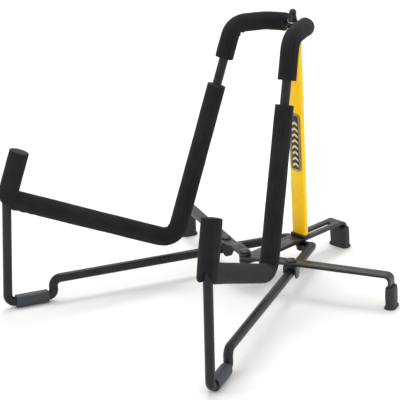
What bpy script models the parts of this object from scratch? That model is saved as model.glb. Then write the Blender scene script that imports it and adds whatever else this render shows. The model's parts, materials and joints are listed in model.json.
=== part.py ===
"""Folding two-arm guitar stand.

Two wire side frames swing about one upright strut. Each frame has a base rod, a back rod and foam sleeves.
A slotted middle leg slides under the strut's foot. Two side legs pivot on its front end and cross the base rods.

The mechanism is laid out about the strut: +Z up, -Y to the front of the stand, +X to its right. A last step moves
the whole stand so that the world's origin is under the middle of its bounding box.
"""

import math

import bmesh
import bpy
from mathutils import Matrix, Vector

MM = 0.001
GAP = 0.3 * MM  # between neighbouring solids

# Side frames: their side view, as reach ahead of the strut and height above the floor
SPLAY = math.radians(25.3)  # each frame's swing out from straight ahead
FOLD_SWING = math.radians(24.0)  # how far each frame swings in, until its saddle lies beside the middle leg
FRAME_OFFSET = 16.1 * MM  # from the strut's axis out to a frame's plane
ROD_D = 9.8 * MM
FOAM_D = 20.8 * MM  # post and arm
BACK_FOAM_D = 19.2 * MM  # stretched over the top bend
BASE_ROD_HEIGHT = 24.9 * MM
LOWER_BEND_OFFSET = 11.8 * MM  # the back rod leans outwards a little
TOP_BEND_OFFSET = 17.6 * MM
LOWER_BEND_REACH = 138.0 * MM
LOWER_BEND_HEIGHT = 46.9 * MM
ARM_LENGTH = 192.3 * MM
ARM_RISE = math.radians(23.5)
BACK_LENGTH = 239.8 * MM
BACK_LEAN = math.radians(19.1)
POST_LENGTH = 52.4 * MM
POST_LEAN = math.radians(19.9)
FOOT_AHEAD = 8.5 * MM  # the foot bend's reach past the arm's end
FOOT_LENGTH = 50.1 * MM  # from the foot bend back to the step
HINGE_DROP = 5.5 * MM  # from the top bend down to the hinge's eyes
KNEE_REACH = 24.0 * MM  # a slight bend in the top rod, ahead of the hinge
KNEE_DROP = 1.3 * MM
HINGE_TURN_OFFSET = 15.5 * MM  # the back rod's last corner, beside the hinge

BACK_BEND_R = 15.5 * MM
TOP_BEND_R = 17.0 * MM
HINGE_TURN_R = 10.0 * MM
KNEE_BEND_R = 40.0 * MM
HOOK_BEND_R = 12.0 * MM
HOOK_CORNER_REACH = 5.0 * MM
FOOT_BEND_R = 8.0 * MM
STEP_LOW_BEND_R = 6.0 * MM
STEP_HIGH_BEND_R = 8.0 * MM
POST_BEND_R = 40.0 * MM

# Flattened rod ends
EYE_W = 12.5 * MM
EYE_T = 3.2 * MM
HIGH_EYE_LENGTH = 6.6 * MM  # from the hinge's axis to the end of the flat
HIGH_FLATTEN_LENGTH = 5.4 * MM  # from the flat to the round rod
LOW_EYE_LENGTH = 11.0 * MM
LOW_FLATTEN_LENGTH = 9.0 * MM

# Foam and rubber sleeves
UPPER_SLEEVE_BELOW_BEND = {"left": 37.0 * MM, "right": 42.5 * MM}
BACK_SLEEVE_BELOW_BEND = {"left": 66.5 * MM, "right": 67.5 * MM}
HINGE_SLEEVE_SHARE = 0.5  # the share of the last corner that foam covers
POST_TOP_FOAM = 6.0 * MM  # foam over the rod's end
POST_SLEEVE_BELOW_ARM = 8.5 * MM
FOOT_SLEEVE_D = 14.0 * MM
FOOT_SLEEVE_END_CLEARANCE = 0.5 * MM

# Strut and its studs
STRUT_W = 19.0 * MM
STRUT_T = 5.0 * MM
STRUT_TOP_CORNER_R = 7.0 * MM
STRUT_EDGE_R = 0.6 * MM
STUD_D = 5.0 * MM
WASHER_D = 11.4 * MM
WASHER_T = 1.0 * MM
COLLAR_LOW_D = 9.6 * MM
COLLAR_HIGH_D = 6.8 * MM
COLLAR_H = 7.6 * MM
DOME_D = 7.8 * MM
DOME_H = 5.2 * MM
DOME_WALL = 1.6 * MM  # over the stud's end
LABEL_W = 15.4 * MM
LABEL_H = 64.0 * MM
LABEL_T = 0.5 * MM
LABEL_LOW = 107.5 * MM  # the label's lower edge above the floor
LABEL_CORNER_R = 4.0 * MM
SHOE_W = 20.8 * MM
SHOE_DEPTH = 10.0 * MM
SHOE_T = 2.4 * MM
SHOE_SOCKET = 1.0 * MM  # how deep the strut sits in the shoe
NUT_D = 9.2 * MM  # across flats
NUT_H = 4.0 * MM
STUD_PAST_NUT = 1.5 * MM

# Legs
LEG_T = 3.3 * MM
MIDDLE_LEG_W = 20.0 * MM
MIDDLE_LEG_REAR = 61.9 * MM  # the middle of its down-turned tab, behind the strut
HUB_REACH = 84.4 * MM  # the side legs' pivot, ahead of the strut
HUB_TAPER = 14.0 * MM  # from the pivot back to the middle leg's full width
SIDE_LEG_W = 12.7 * MM
SIDE_LEG_LENGTH = 162.7 * MM
JOGGLE_START = 24.0 * MM
JOGGLE_END = 32.0 * MM
LEG_BEND_R = 6.0 * MM
RIVET_REACH = 79.6 * MM  # where a side leg crosses the base rod, along the rod
RIVET_HEAD_D = 11.6 * MM
RIVET_HEAD_H = 1.6 * MM
RIVET_CROWN = 0.8  # the head's flat top, as a share of its width
RIVET_SHANK_D = 5.0 * MM
HUB_WASHER_D = 12.0 * MM
HUB_WASHER_T = 1.3 * MM
SLOT_CLEARANCE = 0.3 * MM  # each side of the lower stud

# Saddles
SADDLE_L = 13.0 * MM
SADDLE_WALL = 1.6 * MM
SADDLE_CREST = 3.0 * MM
SADDLE_TURNED_UNDER = 1.2 * MM
SADDLE_CLEARANCE = 0.6 * MM  # between a saddle's crest and the side leg that sweeps over it

# Leg feet
FOOT_H = 24.0 * MM
FOOT_T = 9.7 * MM  # along the leg, above the flange
FOOT_WALL = 1.4 * MM
FOOT_FLANGE = 1.4 * MM
FOOT_FLANGE_H = 3.0 * MM
FOOT_FLANGE_FLAT = 0.6  # the share of the flange's height that stands upright
FOOT_FILLET = 0.3 * MM  # where the flange runs into the body
FOOT_SHOULDER_H = 1.5 * MM
FOOT_SHOULDER_IN = 1.0 * MM
FOOT_SOLE = 5.0 * MM

SIDES = 12  # facets of a rod or sleeve
ROUND_SIDES = 20  # facets of a fastener
ARC_STEP = math.radians(18)

# Worked out from the sizes above
ROD_R = ROD_D / 2
FOAM_R = FOAM_D / 2
BACK_FOAM_R = BACK_FOAM_D / 2
BORE_OF_SLEEVE = ROD_R + GAP
SIDE_LEG_Z = BASE_ROD_HEIGHT + ROD_R + GAP + SADDLE_CREST + SADDLE_CLEARANCE
MIDDLE_LEG_TOP = SIDE_LEG_Z - HUB_WASHER_T - 2 * GAP
MIDDLE_LEG_LOW = MIDDLE_LEG_TOP - LEG_T
FOOT_ROD_HEIGHT = FOOT_SLEEVE_D / 2
TOP_BEND_REACH = LOWER_BEND_REACH - BACK_LENGTH * math.sin(BACK_LEAN)
TOP_BEND_HEIGHT = LOWER_BEND_HEIGHT + BACK_LENGTH * math.cos(BACK_LEAN)
HINGE_HEIGHT = TOP_BEND_HEIGHT - HINGE_DROP
ARM_END_REACH = LOWER_BEND_REACH + ARM_LENGTH * math.cos(ARM_RISE)
ARM_END_HEIGHT = LOWER_BEND_HEIGHT + ARM_LENGTH * math.sin(ARM_RISE)
FOOT_BEND_REACH = ARM_END_REACH + FOOT_AHEAD
STUD_R = STUD_D / 2
BORE_R = STUD_R + GAP
STRUT_BOTTOM = MIDDLE_LEG_TOP + GAP + SHOE_T - SHOE_SOCKET + GAP
EYE_PITCH = EYE_T + GAP  # between the middles of two stacked eyes
HINGE_STACK = EYE_PITCH / 2 + EYE_T / 2 + GAP  # from the hinge's height to its washers' faces
STRUT_TOP = HINGE_HEIGHT - HINGE_STACK - WASHER_T - GAP
LOW_EYE_TOP = MIDDLE_LEG_LOW - GAP


def rivet_place(splay):
    """Where the right base rod is crossed by its side leg, with the frame splayed by an angle."""
    x = RIVET_REACH * math.sin(splay) + FRAME_OFFSET * math.cos(splay)
    y = -RIVET_REACH * math.cos(splay) + FRAME_OFFSET * math.sin(splay)
    return x, y


RIVET_X, RIVET_Y = rivet_place(SPLAY)
FOLDED_RIVET_X, FOLDED_RIVET_Y = rivet_place(SPLAY - FOLD_SWING)
LINK_LENGTH = math.hypot(RIVET_X, RIVET_Y + HUB_REACH)
SIDE_LEG_ANGLE = math.atan2(RIVET_Y + HUB_REACH, RIVET_X)  # from +X towards +Y
FOLDED_HUB_REACH = -FOLDED_RIVET_Y + math.sqrt(LINK_LENGTH**2 - FOLDED_RIVET_X**2)
SLIDE_TRAVEL = FOLDED_HUB_REACH - HUB_REACH


# ---- scene and materials ----


def clear_scene():
    for thing in list(bpy.data.objects):
        bpy.data.objects.remove(thing, do_unlink=True)


def make_material(name, colour, roughness, metallic=0.0):
    material = bpy.data.materials.new(name)
    material.use_nodes = True
    shader = material.node_tree.nodes["Principled BSDF"]
    shader.inputs["Base Color"].default_value = (*colour, 1.0)
    shader.inputs["Roughness"].default_value = roughness
    shader.inputs["Metallic"].default_value = metallic
    material.diffuse_color = (*colour, 1.0)
    return material


FINISHES = {
    "powder_coat": ((0.028, 0.032, 0.033), 0.42, 0.0),
    "foam": ((0.017, 0.018, 0.018), 0.95, 0.0),
    "rubber": ((0.022, 0.025, 0.026), 0.75, 0.0),
    "yellow_enamel": ((0.80, 0.52, 0.012), 0.35, 0.0),
    "label_film": ((0.015, 0.015, 0.015), 0.40, 0.0),
    "zinc_steel": ((0.55, 0.55, 0.53), 0.30, 1.0),
    "black_oxide": ((0.02, 0.02, 0.02), 0.35, 0.6),
    "nylon": ((0.02, 0.02, 0.02), 0.55, 0.0),
}


def add_object(name, bm, finish, parent, smooth=True):
    """Makes one closed body from a bmesh, with its own material."""
    bmesh.ops.remove_doubles(bm, verts=bm.verts, dist=0.000001)
    bmesh.ops.recalc_face_normals(bm, faces=bm.faces)
    mesh = bpy.data.meshes.new(name)
    bm.to_mesh(mesh)
    bm.free()
    if smooth:
        mesh.shade_smooth()
        mesh.set_sharp_from_angle(angle=math.radians(35))
    mesh.materials.append(make_material(name, *FINISHES[finish]))
    thing = bpy.data.objects.new(name, mesh)
    bpy.context.collection.objects.link(thing)
    thing.parent = parent
    return thing


def add_empty(name, location=(0, 0, 0), turn=0.0, parent=None):
    empty = bpy.data.objects.new(name, None)
    empty.location = location
    empty.rotation_euler = (0, 0, turn)
    empty.parent = parent
    bpy.context.collection.objects.link(empty)
    return empty


def cut_away(thing, name, bm):
    """Cuts a shape, given in the piece's own coordinates, out of the piece."""
    bmesh.ops.recalc_face_normals(bm, faces=bm.faces)
    mesh = bpy.data.meshes.new(name)
    bm.to_mesh(mesh)
    bm.free()
    cutter = bpy.data.objects.new(name, mesh)
    bpy.context.collection.objects.link(cutter)
    cutter.parent = thing
    cutter.hide_render = True
    cutter.display_type = "WIRE"
    boolean = thing.modifiers.new(name, "BOOLEAN")
    boolean.operation = "DIFFERENCE"
    boolean.solver = "EXACT"
    boolean.object = cutter


# ---- centre lines ----


def arc_points(before, corner, after, radius):
    """The points of a bend of the given radius at a corner of a centre line."""
    a = (before - corner).normalized()
    b = (after - corner).normalized()
    inside = a.angle(b)
    turn = math.pi - inside
    setback = radius * math.tan(turn / 2)
    centre = corner + (a + b).normalized() * (radius / math.sin(inside / 2))
    start = corner + a * setback - centre
    axis = start.cross(corner + b * setback - centre).normalized()
    steps = max(2, math.ceil(turn / ARC_STEP))
    return [centre + Matrix.Rotation(turn * n / steps, 3, axis) @ start for n in range(steps + 1)]


def bent_line(corners):
    """A centre line through corners, each given as (x, y, z, bend radius)."""
    places = [Vector(c[:3]) for c in corners]
    points = [places[0]]
    for n in range(1, len(corners) - 1):
        points += arc_points(places[n - 1], places[n], places[n + 1], corners[n][3])
    return points + [places[-1]]


class Route:
    """A centre line with a frame at every point, so that a rod and its sleeves share their facets."""

    def __init__(self, points, up=(0, 0, 1)):
        self.points = points
        steps = [(b - a).normalized() for a, b in zip(points, points[1:])]
        joined = zip(steps[:1] + steps, steps + steps[-1:])
        self.directions = [(a + b).normalized() for a, b in joined]
        self.ups = []
        up = Vector(up)
        for direction in self.directions:
            up = (up - direction * up.dot(direction)).normalized()
            self.ups.append(up)
        self.distances = [0.0]
        for a, b in zip(points, points[1:]):
            self.distances.append(self.distances[-1] + (b - a).length)
        self.length = self.distances[-1]

    def frame(self, n, point=None, direction=None):
        """The frame at the line's point n, or with its turn at a place beside it: up, side and along."""
        direction = direction or self.directions[n]
        up = (self.ups[n] - direction * self.ups[n].dot(direction)).normalized()
        turn = Matrix((up.cross(direction), up, direction)).transposed().to_4x4()
        return Matrix.Translation(point or self.points[n]) @ turn

    def at(self, distance):
        """The frame at a distance along the line."""
        last = len(self.points) - 2
        n = next((n for n in range(last) if distance <= self.distances[n + 1]), last)
        direction = (self.points[n + 1] - self.points[n]).normalized()
        return self.frame(n, self.points[n] + direction * (distance - self.distances[n]), direction)

    def stations(self, start, end):
        """Frames from one distance to another, with every point of the line between them."""
        between = [n for n, d in enumerate(self.distances) if start + GAP < d < end - GAP]
        return [self.at(start)] + [self.frame(n) for n in between] + [self.at(end)]


def flat_sized(frame, half_w, half_t, sides=SIDES):
    """A ring's matrix: flat-to-flat sizes, with a facet on each of the frame's axes."""
    out = 1 / math.cos(math.pi / sides)
    size = Matrix.Diagonal((half_w * out, half_t * out, 1, 1))
    return frame @ size @ Matrix.Rotation(math.pi / sides, 4, "Z")


def skin(rings, sides=SIDES, capped=True):
    """Joins rings into one surface: open rings are capped, and a loop of rings closes on its first."""
    bm = bmesh.new()
    made = bmesh.ops.create_circle(bm, segments=sides, radius=1, cap_ends=capped, matrix=rings[0])
    edges = list({e for v in made["verts"] for e in v.link_edges})
    for before, ring in zip(rings, rings[1:]):
        grown = bmesh.ops.extrude_edge_only(bm, edges=edges)["geom"]
        verts = [g for g in grown if isinstance(g, bmesh.types.BMVert)]
        edges = [g for g in grown if isinstance(g, bmesh.types.BMEdge)]
        bmesh.ops.transform(bm, matrix=ring @ before.inverted(), verts=verts)
    if capped:
        bmesh.ops.contextual_create(bm, geom=edges)
    return bm


def sleeve_skin(route, start, end, start_r, end_r):
    """An open tube round a stretch of a rod's route, whose outside may taper."""
    frames = route.stations(start, end)
    first = frames[0].translation
    whole = sum((b.translation - a.translation).length for a, b in zip(frames, frames[1:]))
    outside = []
    run = 0.0
    before = first
    for frame in frames:
        run += (frame.translation - before).length
        before = frame.translation
        outer_r = start_r + (end_r - start_r) * run / whole
        outside.append(flat_sized(frame, outer_r, outer_r))
    inside = [flat_sized(f, BORE_OF_SLEEVE, BORE_OF_SLEEVE) for f in frames]
    return skin(outside + inside[::-1] + outside[:1], capped=False)


def capped_sleeve_skin(route, start, end, outer_r, end_foam):
    """A tube that starts open and covers the end of its rod."""
    inside = [flat_sized(f, BORE_OF_SLEEVE, BORE_OF_SLEEVE) for f in route.stations(start, end - end_foam)]
    outside = [flat_sized(f, outer_r, outer_r) for f in route.stations(start, end)]
    return skin(inside[::-1] + outside)


# ---- turned and plain shapes ----


def turned(profile, sides=ROUND_SIDES):
    """Spins a closed (radius, height) outline about Z."""
    bm = bmesh.new()
    verts = [bm.verts.new((r, 0, z)) for r, z in profile]
    edges = [bm.edges.new((a, b)) for a, b in zip(verts, verts[1:] + verts[:1])]
    bmesh.ops.spin(
        bm, geom=verts + edges, cent=(0, 0, 0), axis=(0, 0, 1), angle=2 * math.pi, steps=sides,
        use_merge=True,
    )
    return bm


def box(low, high):
    bm = bmesh.new()
    size = Vector(high) - Vector(low)
    middle = (Vector(high) + Vector(low)) / 2
    bmesh.ops.create_cube(bm, size=1, matrix=Matrix.Translation(middle) @ Matrix.Diagonal((*size, 1)))
    return bm


def rod_cutter(radius, low, high, place=(0, 0), sides=ROUND_SIDES):
    bm = bmesh.new()
    middle = Matrix.Translation((*place, (low + high) / 2))
    bmesh.ops.create_cone(
        bm, cap_ends=True, segments=sides, radius1=radius, radius2=radius, depth=high - low, matrix=middle
    )
    return bm


def washer(radius, hole, low, thickness):
    return turned([(hole, low), (radius, low), (radius, low + thickness), (hole, low + thickness)])


# ---- side frames ----


def eye_rings(route, middle_z, flat_length):
    """Rings of a rod's flattened end: a round eye about the line's start, then the flat, then the round rod."""
    half_w = EYE_W / 2
    shift = Matrix.Translation((0, 0, middle_z - route.points[0].z))
    rings = []
    for angle in (72, 52, 30, 0):
        along = half_w * math.sin(math.radians(angle))
        width = half_w * math.cos(math.radians(angle))
        frame = shift @ route.at(0) @ Matrix.Translation((0, 0, -along))
        rings.append(flat_sized(frame, width, EYE_T / 2))
    for frame in route.stations(0, flat_length)[1:]:
        rings.append(flat_sized(shift @ frame, half_w, EYE_T / 2))
    return rings


def rod_skin(route, eye_z, flat_length, flatten_length):
    """A round rod whose first end is an eye."""
    rings = eye_rings(route, eye_z, flat_length)
    middle = route.at(flat_length + flatten_length / 2)
    half_way = Matrix.Translation((0, 0, (eye_z - route.points[0].z) / 2))
    rings.append(flat_sized(half_way @ middle, (EYE_W / 2 + ROD_R) / 2, (EYE_T / 2 + ROD_R) / 2))
    for frame in route.stations(flat_length + flatten_length, route.length):
        rings.append(flat_sized(frame, ROD_R, ROD_R))
    return skin(rings)


def base_route(side):
    """Eye under the strut, hook, base rod, step, foot, front rod and post."""
    x = side * FRAME_OFFSET
    post_reach = ARM_END_REACH - POST_LENGTH * math.sin(POST_LEAN)
    post_height = ARM_END_HEIGHT + POST_LENGTH * math.cos(POST_LEAN)
    rod_end = Vector((0, post_reach, post_height))
    rod_end += Vector((0, math.sin(POST_LEAN), -math.cos(POST_LEAN))) * POST_TOP_FOAM
    step_reach = FOOT_BEND_REACH - FOOT_LENGTH
    corners = [
        (0, 0, BASE_ROD_HEIGHT, 0),
        (x, -HOOK_CORNER_REACH, BASE_ROD_HEIGHT, HOOK_BEND_R),
        (x, -step_reach, BASE_ROD_HEIGHT, STEP_HIGH_BEND_R),
        (x, -step_reach, FOOT_ROD_HEIGHT, STEP_LOW_BEND_R),
        (x, -FOOT_BEND_REACH, FOOT_ROD_HEIGHT, FOOT_BEND_R),
        (x, -ARM_END_REACH, ARM_END_HEIGHT, POST_BEND_R),
        (x, -rod_end.y, rod_end.z, 0),
    ]
    return Route(bent_line(corners))


def butt_distance(radius):
    """How far short of the post rod's corner an arm of a radius ends, to butt on a post of the same radius."""
    post_bend = POST_LEAN + math.atan2(FOOT_AHEAD, ARM_END_HEIGHT - FOOT_ROD_HEIGHT)
    corner_cut = POST_BEND_R * (1 / math.cos(post_bend / 2) - 1)
    tilt = abs(ARM_RISE - POST_LEAN + post_bend / 2)  # of the arm's end from the post's side
    facet_corner = radius / math.cos(math.pi / SIDES)
    return (facet_corner + corner_cut) / math.cos(tilt) + facet_corner * math.tan(tilt) + GAP


def back_route(side):
    """Eye at the hinge, the corner beside it, top rod, backrest and arm."""
    x = side * FRAME_OFFSET
    to_post = butt_distance(ROD_R)
    arm_reach = ARM_END_REACH - to_post * math.cos(ARM_RISE)
    arm_height = ARM_END_HEIGHT - to_post * math.sin(ARM_RISE)
    corners = [
        (0, 0, HINGE_HEIGHT, 0),
        (side * HINGE_TURN_OFFSET, 0, HINGE_HEIGHT, HINGE_TURN_R),
        (side * TOP_BEND_OFFSET, -KNEE_REACH, TOP_BEND_HEIGHT - KNEE_DROP, KNEE_BEND_R),
        (side * TOP_BEND_OFFSET, -TOP_BEND_REACH, TOP_BEND_HEIGHT, TOP_BEND_R),
        (side * LOWER_BEND_OFFSET, -LOWER_BEND_REACH, LOWER_BEND_HEIGHT, BACK_BEND_R),
        (x, -arm_reach, arm_height, 0),
    ]
    return Route(bent_line(corners))


def distance_near(route, point):
    """How far along a route it passes nearest to a point."""
    best = (math.inf, 0.0)
    for n, (a, b) in enumerate(zip(route.points, route.points[1:])):
        step = b - a
        share = min(1.0, max(0.0, (point - a).dot(step) / step.length_squared))
        apart = (a + step * share - point).length
        best = min(best, (apart, route.distances[n] + step.length * share))
    return best[1]


def down_the_back(side, distance):
    """A point on the backrest, below the top bend."""
    top = Vector((side * TOP_BEND_OFFSET, -TOP_BEND_REACH, TOP_BEND_HEIGHT))
    low = Vector((side * LOWER_BEND_OFFSET, -LOWER_BEND_REACH, LOWER_BEND_HEIGHT))
    return top + (low - top).normalized() * distance


def make_frame(name, side, eye_level, root):
    """One side frame. eye_level is 1 for the frame whose eyes lie on top and -1 for the other."""
    axis = add_empty(name + "_swing_axis", turn=side * SPLAY, parent=root)
    base = base_route(side)
    back = back_route(side)
    low_eye = LOW_EYE_TOP - EYE_T / 2 - (0 if eye_level > 0 else EYE_PITCH)
    high_eye = HINGE_HEIGHT + eye_level * EYE_PITCH / 2

    base_skin = rod_skin(base, low_eye, LOW_EYE_LENGTH, LOW_FLATTEN_LENGTH)
    base_rod = add_object(name + "_base_rod", base_skin, "powder_coat", axis)
    cut_away(base_rod, name + "_base_eye_bore", rod_cutter(BORE_R, low_eye - EYE_T, low_eye + EYE_T))
    back_skin = rod_skin(back, high_eye, HIGH_EYE_LENGTH, HIGH_FLATTEN_LENGTH)
    back_rod = add_object(name + "_back_rod", back_skin, "powder_coat", axis)
    cut_away(back_rod, name + "_back_eye_bore", rod_cutter(BORE_R, high_eye - EYE_T, high_eye + EYE_T))

    corner_start = HINGE_TURN_OFFSET - HINGE_TURN_R
    foam_start = corner_start + HINGE_SLEEVE_SHARE * HINGE_TURN_R * math.pi / 2
    upper_end = distance_near(back, down_the_back(side, UPPER_SLEEVE_BELOW_BEND[name]))
    upper = sleeve_skin(back, foam_start, upper_end, BACK_FOAM_R, BACK_FOAM_R)
    add_object(name + "_upper_sleeve", upper, "foam", axis)

    back_start = distance_near(back, down_the_back(side, BACK_SLEEVE_BELOW_BEND[name]))
    arm_end = back.length - (butt_distance(FOAM_R) - butt_distance(ROD_R))
    add_object(name + "_back_sleeve", sleeve_skin(back, back_start, arm_end, BACK_FOAM_R, FOAM_R), "foam", axis)

    arm_meets = distance_near(base, Vector((side * FRAME_OFFSET, -ARM_END_REACH, ARM_END_HEIGHT)))
    post_start = arm_meets - POST_SLEEVE_BELOW_ARM
    post_end = base.length + POST_TOP_FOAM
    post = capped_sleeve_skin(base, post_start, post_end, FOAM_R, POST_TOP_FOAM - GAP)
    post_node = add_object(name + "_post_sleeve", post, "foam", axis)
    notch = bmesh.new()
    facing = Matrix.Rotation(math.pi / 2 - ARM_RISE, 4, "X") @ Matrix.Rotation(math.pi / SIDES, 4, "Z")
    weld = Matrix.Translation((side * FRAME_OFFSET, -ARM_END_REACH, ARM_END_HEIGHT)) @ facing
    notch_r = (ROD_R + GAP) / math.cos(math.pi / SIDES)
    bmesh.ops.create_cone(
        notch, cap_ends=True, segments=SIDES, radius1=notch_r, radius2=notch_r, depth=FOAM_D,
        matrix=weld @ Matrix.Translation((0, 0, -FOAM_R)),
    )
    cut_away(post_node, name + "_arm_notch", notch)

    x = side * FRAME_OFFSET
    step_side = Vector((x, -(FOOT_BEND_REACH - FOOT_LENGTH + STEP_LOW_BEND_R), FOOT_ROD_HEIGHT))
    bend_side = Vector((x, -(FOOT_BEND_REACH - FOOT_BEND_R), FOOT_ROD_HEIGHT))
    foot_start = distance_near(base, step_side) + FOOT_SLEEVE_END_CLEARANCE
    foot_end = distance_near(base, bend_side) - FOOT_SLEEVE_END_CLEARANCE
    foot = sleeve_skin(base, foot_start, foot_end, FOOT_SLEEVE_D / 2, FOOT_SLEEVE_D / 2)
    add_object(name + "_foot_sleeve", foot, "rubber", axis)

    saddle = saddle_shape()
    bmesh.ops.transform(saddle, matrix=Matrix.Translation((x, -RIVET_REACH, BASE_ROD_HEIGHT)), verts=saddle.verts)
    add_object(name + "_saddle", saddle, "powder_coat", axis)


def saddle_shape():
    """A strap bent over the base rod, with a flat crest, centred on the rod."""
    inner = ROD_R + 2 * GAP
    outer = inner + SADDLE_WALL
    crest = ROD_R + GAP + SADDLE_CREST
    low = -inner - SADDLE_TURNED_UNDER
    outline = [(-outer, low), (-outer, crest), (outer, crest), (outer, low), (inner, low)]
    for n in range(7):
        angle = math.pi * n / 6
        outline.append((inner * math.cos(angle), inner * math.sin(angle)))
    outline.append((-inner, low))
    bm = bmesh.new()
    verts = [bm.verts.new((x, -SADDLE_L / 2, z)) for x, z in outline]
    face = bm.faces.new(verts)
    grown = bmesh.ops.extrude_face_region(bm, geom=[face])["geom"]
    moved = [g for g in grown if isinstance(g, bmesh.types.BMVert)]
    bmesh.ops.translate(bm, vec=(0, SADDLE_L, 0), verts=moved)
    return bm


# ---- strut and hinge ----


def make_strut(root):
    bar = box((-STRUT_W / 2, -STRUT_T / 2, STRUT_BOTTOM), (STRUT_W / 2, STRUT_T / 2, STRUT_TOP))
    upright = [e for e in bar.edges if abs(e.verts[0].co.z - e.verts[1].co.z) > STRUT_T]
    bmesh.ops.bevel(bar, geom=upright, offset=STRUT_EDGE_R, segments=2, affect="EDGES", profile=0.5)
    bar_top = [
        e for e in bar.edges if e.calc_length() > STRUT_T / 2 and min(v.co.z for v in e.verts) > STRUT_TOP - GAP
    ]
    corners = [e for e in bar_top if abs(e.verts[0].co.x - e.verts[1].co.x) < GAP]
    bmesh.ops.bevel(bar, geom=corners, offset=STRUT_TOP_CORNER_R, segments=5, affect="EDGES", profile=0.5)
    add_object("strut", bar, "yellow_enamel", root)

    y = -STRUT_T / 2 - GAP
    plate = box((-LABEL_W / 2, y - LABEL_T, LABEL_LOW), (LABEL_W / 2, y, LABEL_LOW + LABEL_H))
    corners = [e for e in plate.edges if abs(e.verts[0].co.y - e.verts[1].co.y) > LABEL_T / 2]
    bmesh.ops.bevel(plate, geom=corners, offset=LABEL_CORNER_R, segments=5, affect="EDGES", profile=0.5)
    add_object("label_plate", plate, "label_film", root)


def make_top_hinge(root):
    washer_r = WASHER_D / 2
    low_washer = HINGE_HEIGHT - HINGE_STACK - WASHER_T
    high_washer = HINGE_HEIGHT + HINGE_STACK
    collar_low = high_washer + WASHER_T + GAP
    dome_low = collar_low + COLLAR_H + GAP
    stud_top = dome_low + DOME_H - DOME_WALL - GAP
    add_object("hinge_stud", rod_cutter(STUD_R, STRUT_TOP + GAP, stud_top), "black_oxide", root)
    add_object("hinge_washer_low", washer(washer_r, BORE_R, low_washer, WASHER_T), "zinc_steel", root)
    add_object("hinge_washer_high", washer(washer_r, BORE_R, high_washer, WASHER_T), "zinc_steel", root)
    collar = turned(
        [
            (BORE_R, collar_low),
            (COLLAR_LOW_D / 2, collar_low),
            (COLLAR_HIGH_D / 2, collar_low + COLLAR_H),
            (BORE_R, collar_low + COLLAR_H),
        ]
    )
    add_object("hinge_collar", collar, "nylon", root)
    make_dome_nut(dome_low, root)


def make_dome_nut(low, root):
    """A cap nut: a short band under a round crown, with a blind hole."""
    radius = DOME_D / 2
    band = DOME_H - radius
    crown_steps = 6
    profile = [(0, low + DOME_H - DOME_WALL), (BORE_R, low + DOME_H - DOME_WALL), (BORE_R, low), (radius, low)]
    for n in range(crown_steps + 1):
        angle = math.pi / 2 * n / crown_steps
        profile.append((radius * math.cos(angle), low + band + radius * math.sin(angle)))
    profile[-1] = (0, low + DOME_H)
    bm = bmesh.new()
    verts = [bm.verts.new((r, 0, z)) for r, z in profile]
    edges = [bm.edges.new((a, b)) for a, b in zip(verts, verts[1:])]
    bmesh.ops.spin(
        bm, geom=verts + edges, cent=(0, 0, 0), axis=(0, 0, 1), angle=2 * math.pi, steps=ROUND_SIDES,
        use_merge=True,
    )
    add_object("dome_nut", bm, "black_oxide", root)


def make_foot_pivot(root):
    """The shoe under the strut, and the stud, washer and nut that hold the rods' eyes."""
    shoe_low = MIDDLE_LEG_TOP + GAP
    shoe = box((-SHOE_W / 2, -SHOE_DEPTH / 2, shoe_low), (SHOE_W / 2, SHOE_DEPTH / 2, shoe_low + SHOE_T))
    shoe_node = add_object("slide_shoe", shoe, "nylon", root, smooth=False)
    socket_w = STRUT_W / 2 + GAP
    socket_t = STRUT_T / 2 + GAP
    socket = box((-socket_w, -socket_t, STRUT_BOTTOM - GAP), (socket_w, socket_t, shoe_low + 2 * SHOE_T))
    cut_away(shoe_node, "shoe_socket", socket)
    cut_away(shoe_node, "shoe_bore", rod_cutter(BORE_R, shoe_low - SHOE_T, shoe_low + 2 * SHOE_T))

    washer_low = LOW_EYE_TOP - EYE_T - EYE_PITCH - GAP - WASHER_T
    nut_low = washer_low - GAP - NUT_H
    add_object("slide_stud", rod_cutter(STUD_R, nut_low - STUD_PAST_NUT, STRUT_BOTTOM - GAP), "black_oxide", root)
    add_object("slide_washer", washer(WASHER_D / 2, BORE_R, washer_low, WASHER_T), "black_oxide", root)
    nut = rod_cutter(NUT_D / 2 / math.cos(math.pi / 6), nut_low, nut_low + NUT_H, sides=6)
    nut_node = add_object("slide_nut", nut, "black_oxide", root, smooth=False)
    cut_away(nut_node, "nut_bore", rod_cutter(BORE_R, nut_low - NUT_H, nut_low + 2 * NUT_H))


# ---- legs ----


def leg_rings(points, half_w, nose_w, taper):
    """Rings of a flat bar along a line in the local XZ plane, from a round nose that widens over a taper."""
    route = Route(points)
    rings = []
    for angle in (75, 60, 40, 20, 0):
        back = nose_w * math.sin(math.radians(angle))
        frame = route.at(0) @ Matrix.Translation((0, 0, -back))
        width = nose_w * math.cos(math.radians(angle))
        rings.append(flat_sized(frame, width, LEG_T / 2, 4))
    for frame in route.stations(taper, route.length):
        rings.append(flat_sized(frame, half_w, LEG_T / 2, 4))
    return rings


def down_turned(points, reach, middle_z):
    """Ends a bar's line with a bend down and a tab that stands in a foot."""
    points = points + [(reach, 0, middle_z, LEG_BEND_R), (reach, 0, FOOT_SOLE + GAP, 0)]
    return bent_line(points)


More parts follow.
